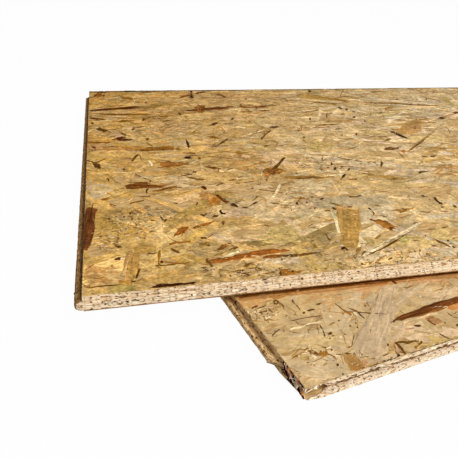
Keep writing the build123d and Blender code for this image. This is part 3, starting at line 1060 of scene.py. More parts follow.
# marks: strands, slits and specks that stand out, each a tone and an outline in the photograph's pixels,
# grouped by their part of the face; a speck is its middle, width and height
upperMarks = {
    "frontLeft": (
        ("#6c3c24", (86, 208), (90, 206.5), (97, 208), (96, 213), (93.5, 219), (95, 224), (93, 238),
         (87, 250), (80.5, 251), (81, 238), (83, 225), (84.5, 214)),
        ("#9a6a2c", (83, 286), (92, 286.5), (105, 285), (125, 284.2), (105, 286.3), (90, 288.5)),
        ("#5a3a14", (115, 246), (119, 245.5), (123, 247), (118, 248)),
        ("#5a2f18", (114, 259), (118, 257), (121, 257), (120, 260), (115, 260)),
        ("#6b4a12", (139, 268), (141, 269), (138, 277), (136, 279), (135.5, 276)),
        ("#4a2c10", (131, 280.5), (136, 280.5), (135, 282), (131, 282)),
        ("#3a120c", (151, 285.8), (155, 285.6), (158, 283.8), (165, 283), (180, 282.4), (192, 281.4),
         (200, 281.4), (192, 283.6), (180, 285.2), (167, 286.6), (158, 287.6), (154, 287.8)),
        ("#3a120c", (189, 283), (194, 282.5), (194, 284), (189, 284)),
        ("#bc9156", (129, 250), (131.5, 250), (127, 262), (122, 274), (120, 276), (124, 262)),
        ("#b88c48", (131, 252), (141, 252), (139, 266), (133, 281), (126, 282), (128, 264)),
        ("#4a2410", (160.5, 260.5), (163, 260.5), (163, 263), (161, 263)),
        ("#7a5a22", (155, 265), (165, 264.5), (178, 263), (190, 261.5), (190, 262.5), (178, 264),
         (165, 265.8), (156, 266.5)),
        ("#6b4a18", (148, 252.5), (157, 252), (157, 253), (149, 253.6)),
        ("#8f6c2e", (159, 250), (161, 250), (161, 256), (160, 266), (157, 267), (158, 258)),
        ("#a5742f", (168, 243.5), (175, 241), (190, 240), (190, 242.5), (176, 243), (170, 245)),
        ("#6b4a1c", (170, 248), (172, 248), (180, 252), (178, 253)),
        ("#9a5f2a", (182, 226), (189, 226), (186, 231), (179, 235), (174, 236), (176, 232)),
    ),
    "frontMiddle": (
        ("#9c5f2a", (209, 259.5), (225, 257.5), (240, 254), (255, 250.5), (270, 248), (285, 248.5),
         (293, 250.5), (280, 252), (262, 254.5), (245, 258), (230, 260.5), (215, 263)),
        ("#8f5526", (263, 256.5), (270, 254.5), (285, 254), (283, 256), (270, 257.5), (263, 258)),
        ("#6e4a1c", (205.5, 259), (209, 258), (210, 261), (212, 264), (214, 266), (211, 267), (208, 263),
         (206, 262)),
        ("#e6c99c", (213, 233.5), (220, 234), (230, 240), (231, 242.5), (222, 238.5), (214, 236)),
        ("#9c6a35", (216, 249), (222, 244.5), (229, 242.5), (232, 244), (226, 247.5), (219, 250)),
        ("#c49c66", (212, 255), (222, 250), (231, 245.5), (233, 247), (225, 251), (215, 256.5)),
        ("#7f6a3a", (213, 256), (220, 252.5), (229, 250), (234, 246.5), (238, 247.5), (230, 250.5),
         (222, 254)),
        ("#fae2a8", (222, 258), (230, 253), (240, 248.5), (239, 252), (233, 256)),
        ("#4a2a0e", (200.5, 236.8), (206, 236.8), (207, 238.8), (202, 239)),
        ("#a8823f", (198, 242), (209, 241.5), (209.5, 245), (199, 246)),
        ("#7a5a2a", (242.5, 266.5), (247, 263), (252, 262), (250, 264.5)),
        ("#64441f", (264, 256.3), (275, 256), (290, 255), (304, 252.4), (312, 251.8), (322, 252.2),
         (312, 254.2), (303, 255.6), (285, 256.8), (270, 258)),
        ("#ab7430", (279.5, 270), (286, 268.5), (291, 269.5), (300, 271), (299, 273), (288, 275.5),
         (281, 276)),
        ("#6b4414", (280, 271), (281.5, 271), (282, 275.5), (280.5, 276)),
        ("#6b4716", (232, 248), (236, 245.5), (239, 247.5), (235, 249.5)),
    ),
    "left": (
        ("#5f3f14", (92.5, 162), (96, 161.5), (101, 165), (102, 168), (98, 169), (94, 166)),
        ("#6b4a1a", (131, 160.5), (134, 156), (138, 153), (139, 155), (135, 159), (132, 161.5)),
        ("#5a3a0e", (106.5, 178), (109, 178.5), (110, 181), (108, 181)),
        ("#7d4a1e", (124, 186), (130, 183.5), (140, 182), (148, 183), (150, 185), (170, 185), (160, 187),
         (148, 187.5), (136, 187.5), (127, 188.5)),
        ("#4a2a08", (147, 188.5), (149, 188.5), (147.5, 193), (146, 192.5)),
        ("#8a5a22", (155, 190), (165, 187.5), (177, 185.2), (177, 186.5), (166, 189.5), (157, 191.5)),
        ("#bf985a", (148, 195), (160, 191), (175, 188), (176, 189), (162, 192.5), (150, 196)),
        ("#94622a", (100, 199), (104, 198), (111, 196.5), (108, 199), (103, 200.5)),
        ("#7a5622", (136, 196.2), (143, 195.8), (150, 195.6), (150, 196.6), (143, 197)),
        ("#7a5622", (130, 202.6), (137, 201), (144, 199.6), (144, 200.6), (137, 202.2), (131, 203.6)),
        ("#a5703a", (160, 162), (170, 161), (182, 162), (189, 163.5), (185, 165), (175, 165),
         (170, 167.5), (163, 167.5), (159, 166)),
        ("#2e0f08", (183, 158), (186, 156), (191, 156), (192, 158), (187, 158.8)),
    ),
    "middle": (
        ("#6e4512", (204, 166), (210, 165.5), (215, 167), (219, 168), (214, 169.5), (209, 168)),
        ("#7d5f2a", (186, 176.5), (196, 177.5), (204, 179), (203, 180.2), (194, 179)),
        ("#7a5a24", (225, 170.2), (229, 168.6), (233, 167.6), (233, 168.6), (229, 169.8)),
        ("#5a3a04", (273, 168), (277, 163.5), (280, 161), (283, 157.5), (285.5, 157), (284.5, 159),
         (281.5, 162.5), (278, 167), (275, 169)),
        ("#9c6a38", (261, 169), (270, 167), (282, 168.5), (286, 171), (280, 173), (272, 173), (268, 178),
         (265, 177), (264, 173)),
        ("#5a3012", (270, 171.8), (275, 172), (275, 173.2), (270, 173.2)),
        ("#b99756", (228, 182.5), (240, 180), (252, 177), (264, 176.5), (262, 178), (250, 179),
         (238, 182.5)),
        ("#947240", (284, 178.5), (288, 175.5), (295, 176), (305, 176), (315, 175.5), (322, 177),
         (334, 176), (334.5, 177.3), (324, 178.3), (314, 177.3), (303, 178.6), (292, 179)),
        ("#5a3006", (201, 186), (204, 185.5), (207, 189), (205, 190), (202, 188)),
        ("#b98748", (198, 193), (206, 191), (214, 194), (210, 200), (202, 199)),
        ("#7a3e08", (215.5, 195), (218, 194), (223, 198), (225, 200), (230, 201.5), (226, 203),
         (221, 200)),
        ("#b5762a", (207, 200), (214, 196), (221, 199), (219, 203), (212, 205)),
        ("#4f2606", (230, 205), (233.5, 202.5), (236, 204), (238.5, 207.5), (234, 206)),
        ("#5a3808", (241.5, 207), (248, 206.5), (252, 203.5), (258, 201), (256, 203.5), (251, 206),
         (247, 208), (243, 208)),
        ("#7a6420", (253, 199.5), (256, 196), (258, 195.5), (258, 197), (255, 199.5)),
        ("#8a7a50", (269, 202), (278, 203), (288, 204.8), (289, 206), (280, 205), (272, 203.5)),
        ("#1e0a04", (219.5, 212), (220, 209.5), (222, 209.5), (222.5, 212), (226, 213), (225, 214.5),
         (221, 214)),
        ("#5a3a10", (200.5, 213.5), (204, 214.5), (206, 212.5), (207, 213.5), (204.5, 216.5),
         (202, 215.5)),
        ("#5f3a10", (212, 216), (215, 214.5), (219, 215), (217, 217), (213, 217)),
        ("#8a5a1c", (193, 227), (200, 224), (208, 222), (214, 220), (213, 222), (206, 225), (199, 227.5),
         (194, 228.5)),
        ("#7a5a20", (222, 221), (225, 221), (224.5, 224.5), (220, 226), (222.5, 223.5)),
        ("#dcc79a", (271, 198), (276, 190), (280, 183), (281, 184), (277, 192), (273, 199)),
    ),
    "backLeft": (
        ("#5f3008", (90, 110.2), (103, 108.6), (120, 107), (136, 105.8), (140, 107), (133, 108.4),
         (118, 109), (104, 110.3), (91, 111.2)),
        ("#d8ae72", (92, 112), (115, 111), (127, 110.5), (138, 111), (126, 113), (110, 112.8)),
        ("#8a6426", (94, 113.5), (110, 113.8), (128, 114), (148, 113.5), (148, 114.8), (125, 115),
         (100, 115)),
        ("#6e480c", (90, 117.3), (96, 117.5), (104, 118.8), (106, 119.8), (100, 119.5), (93, 118.6)),
        ("#4a2c06", (90.5, 122.5), (93, 121.8), (94.5, 122.8), (92, 124.2)),
        ("#6b4a10", (95, 128.5), (99, 127), (104, 128.5), (109, 131), (104, 131.5), (98, 130)),
        ("#4f1c08", (112.5, 139.5), (117, 137), (122, 136.3), (128, 138.5), (131.5, 139.5), (128, 140.2),
         (124, 141), (118, 140)),
        ("#d9b08a", (114, 137), (120, 134.2), (128, 136.2), (122, 135.6)),
        ("#7d4f14", (88, 142), (100, 142), (112, 141.2), (110, 142.6), (98, 143.2), (88, 143)),
        ("#5a2408", (90.3, 145), (93, 146), (95.5, 147), (95.5, 148.6), (92.5, 147.8)),
        ("#5a3a08", (130.5, 130.5), (133, 128), (135.5, 128.2), (133, 130.3)),
        ("#dcb184", (122, 127.6), (130, 126.4), (136, 126.6), (130, 128)),
        ("#5a3208", (145.5, 138.7), (148, 137.7), (149, 139), (147, 140.2)),
        ("#7a5510", (118.5, 121), (122, 119.7), (136, 120), (130, 121.2), (121, 122)),
        ("#6e480c", (141.5, 120.5), (143, 118), (145, 118.5), (150, 116.5), (154, 117), (149, 118),
         (144.5, 120), (143, 121)),
        ("#94642a", (155, 116.3), (164, 115.4), (172, 115.6), (164, 117.2)),
        ("#8a5a22", (160, 120.6), (166, 120), (172, 120), (166, 121.3)),
        ("#8f5a24", (94, 95), (98, 92), (103, 90.8), (101, 93.5), (105, 95.5), (98, 97)),
        ("#946a34", (118, 95), (127, 97), (133, 98.5), (131, 99.5), (124, 98.5)),
        ("#8a6418", (119.5, 131.5), (122, 132), (127, 134.5), (126, 135.5), (122, 133.8)),
        ("#8a4f1c", (179, 98), (182, 95.5), (189, 94), (190, 95.5), (184, 97.2)),
        ("#8a6a24", (163.5, 122.5), (166, 123), (170, 125.5), (168, 126)),
        ("#4a2a08", (185.5, 139.5), (187, 139.5), (190, 147), (188.5, 148.5)),
        ("#8a6a2a", (146, 142.5), (148, 142.8), (153, 145.8), (152, 146.5)),
        ("#8a5f22", (136, 149.5), (150, 146.8), (165, 147.5), (176, 149), (160, 150.2), (143, 150.8)),
        ("#5a3a14", (118, 91.5), (126, 90.4), (136, 90.6), (128, 92)),
        ("#5a3a14", (150, 91.2), (154, 90.4), (158, 90.6), (154, 91.8)),
    ),
    "backMiddle": (
        ("#6e3c0c", (185, 110.2), (196, 108.5), (206, 107.6), (220, 107), (232, 106), (237, 107),
         (225, 109), (212, 110.2), (198, 110.6), (186, 111.2)),
        ("#9a6630", (194, 107), (198, 104.8), (204, 106), (206, 110), (202, 112.5), (197, 111.5)),
        ("#8a5a24", (239.5, 103.5), (241.5, 104), (243.5, 107), (252, 106.2), (266, 105.5), (262, 107.2),
         (246, 108), (241, 107)),
        ("#3f1c04", (190, 90.4), (192, 91), (192, 95), (193.5, 97), (192, 98.3), (190, 96.8)),
        ("#6e4a14", (194, 93.5), (198, 92), (203, 91.3), (206, 91.5), (203, 93), (198, 93.5)),
        ("#8a5f22", (214, 93.5), (219, 93.3), (223, 95), (228, 97.5), (226, 98), (221, 95.5),
         (216, 94.5)),
        ("#6e4f26", (259, 110.3), (264, 109.8), (269, 110), (268, 111), (262, 111.3)),
        ("#9a7440", (240, 111.5), (250, 111), (255, 110.8), (250, 112.2), (243, 112.5)),
        ("#3f1804", (269, 127), (272, 126), (278, 125.8), (280, 126.6), (276, 127.6), (271, 127.8)),
        ("#5a3608", (209, 125.5), (213, 123), (218, 121.8), (217, 123.5), (214, 125.2)),
        ("#6b5222", (260.5, 139), (263, 136), (267, 132), (270, 129.8), (271.5, 130.3), (267.5, 133.5),
         (264, 137), (262, 139.5)),
        ("#5f3f0c", (216, 145), (220, 142.8), (224, 140.5), (226, 138.5), (229, 138.6), (226, 140.5),
         (222, 143.5), (218, 145)),
        ("#96692c", (208, 136.5), (212, 135.5), (217, 137), (223, 138.5), (216, 138.8), (210, 137.8)),
        ("#7a5f22", (230.8, 120), (232.5, 117.3), (234, 117), (232.5, 120)),
        ("#dcc08a", (191, 130.5), (196, 126.5), (199, 125.5), (196, 128.5), (192, 131.2)),
        ("#8a6a2a", (192, 132), (197, 130), (201, 128.8), (197, 130.8), (193, 132.6)),
        ("#7d6a34", (262, 146), (266, 144.5), (270, 145.5), (266, 147)),
        ("#c08a38", (236, 151), (240, 150), (243, 152), (242, 156), (237, 155)),
    ),
    "backRight": (
        ("#ba9046", (297, 96), (305, 93.5), (318, 95), (333, 97.5), (345, 99.5), (348, 101), (338, 101),
         (322, 99.5), (305, 99)),
        ("#7a5a24", (325, 98), (338, 99), (347, 100.6), (345, 101.6), (332, 99.8)),
        ("#8f7040", (314, 101.5), (326, 102), (337, 104), (332, 104.3), (322, 103.2)),
        ("#e0c49a", (318, 109), (328, 107), (339, 105.5), (341, 106.5), (332, 108.2), (322, 110)),
        ("#3f2404", (337.5, 107), (339, 106), (342, 108.5), (343.5, 110), (340.5, 109)),
        ("#4a3210", (345, 109), (347.5, 108), (348, 110), (345.5, 110.3)),
        ("#8a6a30", (300, 111.5), (310, 110.8), (318, 109.5), (319, 110.5), (312, 111.8), (302, 112)),
        ("#8f6620", (360, 102), (375, 102), (385, 102.5), (400, 103), (415, 104), (430, 104.8),
         (439, 105), (436, 106), (420, 105.5), (404, 104.2), (388, 103.5), (372, 103.2)),
        ("#ab7a2c", (383, 108.5), (388, 106.5), (394, 106), (392, 108), (386, 109.5)),
        ("#6b5a2a", (377, 112.8), (380, 112), (384, 112.2), (381, 113.4)),
        ("#e0cfa4", (388, 117.5), (396, 115), (404, 110.5), (405, 111.5), (398, 115.5), (390, 118.3)),
        ("#b08a52", (330, 120.5), (340, 120), (352, 120.8), (350, 122.5), (338, 122.5), (329, 122)),
        ("#9a5f2e", (413, 124.5), (415, 124), (416, 128.5), (414, 129)),
        ("#4a2c04", (390.5, 131), (393, 130.8), (400, 134), (407, 137), (408.5, 138.8), (402, 137),
         (396, 134.5), (392, 132.5)),
        ("#b89866", (412, 146), (420, 140), (428, 134), (436, 127.5), (443, 123), (445, 124), (437, 130),
         (429, 136), (421, 142), (414, 147.5)),
        ("#7d5c22", (408, 150.5), (411, 147.5), (418, 143), (426, 136.5), (434, 131), (433, 133),
         (427, 138), (419, 144.5), (412, 149.5)),
        ("#4f3412", (437.5, 117.8), (441, 116.5), (445, 117.6), (442, 119.3)),
        ("#6b3a14", (452.5, 112.5), (456, 111.5), (459, 112), (459, 113.4), (455, 113.6)),
        ("#6e3f14", (383.5, 149), (387, 147), (394, 147.5), (400, 146.5), (399, 148.5), (393, 149.8),
         (386, 150)),
        ("#a5623a", (399, 150.6), (404, 150), (408, 151), (404, 152.6)),
        ("#7d6230", (382, 141), (386, 139), (390, 138), (392, 139), (387, 141)),
        ("#b29a58", (443, 99), (447, 96.5), (451, 102), (459, 106), (452, 105.5), (447, 101)),
    ),
    "right": (
        ("#3f2a08", (340, 179.5), (342, 176), (345, 173.5), (346, 174.5), (343.5, 177.5), (341.5, 180)),
        ("#906430", (347, 179), (352, 178.3), (358, 178), (357, 179.8), (350, 180)),
        ("#b18846", (366, 173.5), (369, 172.5), (374, 173.5), (380, 176), (390, 176), (398, 177.5),
         (412, 177), (410, 179), (396, 180), (384, 178.5), (372, 178.5), (370, 179.5), (367.5, 179.5),
         (368, 176)),
        ("#7a4f1c", (390, 178.4), (396, 178.2), (396, 180), (391, 180.4)),
        ("#3a2404", (418.5, 171.5), (421, 171), (430, 170.8), (422, 172.5), (420, 173.5)),
        ("#5a4a1c", (421, 156), (425, 155.8), (428, 156), (425, 157)),
        ("#5a3a0c", (430, 156), (434, 155.3), (437, 155.8), (434, 157), (431, 157)),
        ("#6b4a14", (346.5, 195), (350, 196), (356, 196), (362, 194.5), (357, 197), (350, 197.5)),
        ("#e6cf9c", (358, 194.5), (364, 192), (369, 190.5), (368, 192.5), (362, 195)),
        ("#5a3206", (320, 199), (323, 197.5), (325, 198), (322, 200)),
        ("#7a6a34", (329, 201.5), (334, 203), (339, 204.5), (341, 206.5), (337, 205.5), (331, 203.5)),
        ("#5a3a0a", (331.5, 208), (334, 206.8), (337, 209), (335.5, 209.8)),
        ("#8a5a2c", (325, 210.2), (330, 209.8), (330, 211), (326, 211.4)),
        ("#bd9048", (337, 209), (345, 206.5), (352, 209), (361, 210.5), (361, 220), (359, 235),
         (357, 247), (343, 247), (341, 235), (338, 220)),
        ("#ba884c", (336, 206), (343, 205), (346, 208), (342, 212), (337, 211)),
        ("#7a5520", (345, 207.6), (348, 206), (353, 206.4), (350, 207.6)),
        ("#ecd9a8", (330.5, 212), (333.5, 211), (336, 216), (338.5, 222), (340, 232), (338, 232),
         (335, 222)),
        ("#b89a66", (337.5, 219.5), (339, 220), (341, 229), (340, 231)),
        ("#3f2606", (368, 208.5), (369.5, 207.2), (371.5, 209), (371, 210)),
        ("#6b4c14", (371, 210), (372, 210), (375, 214), (373, 215)),
        ("#8f6634", (372, 206), (376, 204.5), (379, 205), (382, 207), (378, 206.3)),
        ("#94692c", (390, 210), (397, 208.5), (402, 210), (408, 209), (415, 206.5), (414, 208),
         (407, 211), (401, 213), (397, 210.5)),
        ("#4f2f08", (433.5, 197.5), (435.5, 197), (438, 200), (442, 203), (443, 204.5), (439, 203.8),
         (436, 201)),
        ("#4a4020", (420.5, 195.5), (423, 194.5), (425, 196), (429, 197), (424, 196.8)),
        ("#a87438", (369, 219), (378, 219.5), (388, 221.5), (393, 224.5), (396, 228.5), (391, 229.5),
         (385, 226.5), (377, 223.5)),
        ("#5f3a12", (389, 226.4), (392, 226.6), (393, 229), (390, 229)),
        ("#8a7440", (441, 228), (445, 226.2), (449, 225.8), (446, 228)),
        ("#cbb488", (411, 229.5), (416, 225), (421, 220.8), (422.5, 221.5), (418, 226), (413, 230)),
        ("#6b5a44", (381, 214.5), (383.5, 215.5), (386, 216.5), (388, 214.5), (387, 217), (383, 217)),
        ("#e8d4ac", (381.5, 212), (385, 211.4), (385, 213.4), (382, 213.8)),
    ),
    "farRight": (
        ("#b98c4e", (397, 132), (403, 125.5), (412, 121.5), (420, 118.5), (423.5, 123), (421, 130),
         (412, 134), (402, 134.5)),
        ("#ecd6aa", (358, 256), (377, 245.5), (393, 236.6), (408, 228), (419, 221.5), (420.5, 222.8),
         (409, 230.5), (394, 239.2), (378, 248), (361, 257)),
        ("#7a5626", (364, 257), (380, 248.8), (395, 240.2), (408, 232.6), (396, 241.8), (380, 250.4)),
    ),
    "frontRight": (
        ("#3f2208", (341.5, 248), (343, 246.5), (345, 246.8), (347, 248), (349, 249.8), (347, 250),
         (345, 248.5), (343.5, 249.2), (342, 249.5)),
        ("#f0dcb0", (340, 245.8), (342, 244.6), (344.5, 245.4), (342.5, 246.4)),
        ("#6b5222", (325.5, 233), (327, 235), (329.5, 238.5), (332, 240), (330, 240.3), (327.5, 238),
         (326, 235.5)),
        ("#8a6a26", (312, 244), (315, 243.5), (317, 246.5), (319, 247.5), (316, 247.8), (313, 246)),
        ("#a07f3e", (358.5, 247), (359.5, 247), (358.5, 251), (357, 256), (355, 259.5), (354.5, 258),
         (356.3, 252)),
        ("#74561f", (360.5, 256), (362, 252.5), (365, 251), (368, 250), (366, 252), (363.5, 254.5),
         (361.5, 256.5)),
        ("#c2a270", (368, 250), (374, 247.5), (381, 244.5), (387, 241), (392, 239.8), (400, 236),
         (410, 231), (416, 227.5), (416, 228.5), (410, 232.5), (400, 237.5), (392, 241.3), (387, 242.5),
         (381, 245.5), (374, 248.5)),
        ("#6b4a24", (383.5, 242.5), (385.5, 240.8), (387.5, 240.8), (386, 242.8), (384, 243.4)),
        ("#c0a276", (390, 239), (400, 234.6), (410, 229.8), (410, 230.8), (400, 235.8), (391, 240)),
        ("#8a6a42", (375, 239), (377, 236.5), (380, 234.5), (383, 234.2), (381, 236), (378, 238)),
        ("#4a3012", (388, 259), (391, 257), (393, 257.5), (391.5, 259), (389, 260)),
        ("#7a5a14", (361, 262.5), (363, 262.6), (364, 264.6), (362, 265)),
        ("#6b5522", (353.5, 266), (356, 267.5), (358.5, 268.5), (356, 268.5)),
        ("#9a8048", (369, 264), (372, 261), (374, 260.5), (371, 264)),
        ("#7d6236", (367.5, 268), (370, 266), (372, 265), (371, 267.5)),
        ("#7a5f20", (323.5, 268.5), (327, 267.5), (329, 268), (326, 269.5)),
        ("#8a7048", (413, 239.8), (418, 240), (420, 240.6), (415, 241)),
        ("#7a5630", (432.5, 238), (435, 238.5), (440, 240.5), (445, 242.5), (449, 245), (452, 247),
         (448, 246), (443, 244), (437, 241.5)),
        ("#7a5030", (431.5, 245), (435, 244.8), (437, 246), (433, 246.3)),
        ("#8a6a42", (452, 238), (460, 235.5), (460, 237), (454, 239)),
        ("#6b5028", (452, 245.5), (456, 247.5), (454, 248)),
        ("#c0ab62", (400, 236.5), (408, 235.5), (410, 240), (406, 243), (400, 241)),
    ),
}
upperSpecks = {
    "darkBrown": ("#4a2c0e", (
        (248.5, 274.5, 3, 1.2), (282, 259, 2, 3), (292.5, 271.2, 3, 2.4), (150, 180.5, 2, 3),
        (124, 169, 4, 2), (130, 213, 2, 4), (124, 217, 1.6, 1.6), (132, 219, 2, 2),
        (152.5, 220.2, 5, 1.6), (161.5, 218, 3, 4), (165.5, 220.5, 3, 3), (169, 221, 1.4, 1.4),
        (176, 203, 4, 1.2), (113, 228, 1.4, 2), (126, 229, 1.6, 1.6), (194, 171.8, 6, 1.5),
        (248, 158, 1.6, 1.6), (248, 169, 1.6, 1.6), (240, 156, 1.4, 1.4), (263, 171.2, 2, 1.6),
        (267, 180, 2, 2), (297.5, 203.5, 3, 3), (197.2, 203.5, 2.5, 3), (146, 102.5, 2, 2),
        (246, 99, 2, 2), (249.5, 121.2, 2, 2.5), (310, 90.8, 4, 2.2), (397, 99, 2, 2), (354, 117, 4, 2),
        (365, 121, 3, 2.2), (310, 118.5, 2, 3), (328, 121.5, 2, 2), (304, 137, 2, 2), (342, 135, 2, 2),
        (356.5, 133.5, 3, 3), (416, 119, 1.6, 2), (331.5, 164, 3, 4), (335, 168, 4, 3),
        (349, 169, 4, 3.4), (318, 163.2, 2, 1.5), (322, 158.5, 2, 2), (369, 162, 2, 2),
        (377, 165.8, 2, 1.5), (301, 196.8, 2, 1.5), (306.5, 202.2, 1.2, 2.5), (315, 207.8, 2, 2.5),
        (312, 197, 2, 2), (429.5, 199, 1.2, 2), (442, 207, 4, 1.6), (455, 206, 4, 2.4),
        (402, 258, 2.4, 2), (316, 269.3, 3, 1.4), (346.5, 273.5, 2, 3), (329, 275.4, 4, 1.4),
        (448, 240.2, 3, 2.4), (420, 250, 2, 2),
    )),
    "brown": ("#7a5424", (
        (199.5, 158, 5, 4), (180, 114, 3.6, 4), (136, 224.5, 1.4, 6), (230, 166, 1.4, 1.4),
        (426.5, 98.5, 1.2, 3), (342.5, 114, 5, 1.6), (354, 111.5, 5, 2), (327, 115, 1.6, 6),
        (301.5, 128, 1.4, 4), (371, 114, 1.2, 2), (328, 167.2, 4, 1.5), (342, 166.5, 4, 2.6),
        (307, 158.5, 1.4, 1.4), (361, 163.8, 2, 1.5), (374.5, 162, 3, 2), (312, 267, 2, 2),
        (325, 273, 2, 1.6), (350.5, 268, 2, 1.6), (425.5, 235.6, 2, 1.4), (415, 251, 2, 1.6),
        (427, 254, 1.2, 3), (418, 260.4, 3, 1.4), (381.5, 164, 3, 7), (405, 263, 2, 2),
        (438, 263, 3, 1.4), (370, 272, 4, 1.4), (396, 269.5, 3, 1.4), (225, 277, 2, 1.4),
        (262, 279, 3, 1.4), (112, 266, 2, 2), (100, 236, 2, 3), (106, 243, 3, 1.6), (118, 238, 2, 2),
        (143, 238, 3, 1.4), (109, 218, 2, 2),
    )),
    "paleCream": ("#e4cc9a", (
        (122, 258.5, 4, 3), (105.5, 193, 3, 2), (146, 99.5, 2, 2), (404, 146, 4, 2), (138, 215, 3, 2),
        (146, 226, 4, 2), (128, 222, 3, 2), (155, 214, 4, 2), (164, 226, 4, 2), (118, 224, 3, 2),
        (172, 214, 4, 1.6), (306, 283, 4, 2), (345, 277, 5, 2), (333, 279, 4, 2), (404, 272, 4, 2),
        (382, 275, 5, 2), (436, 268, 4, 2),
    )),
}
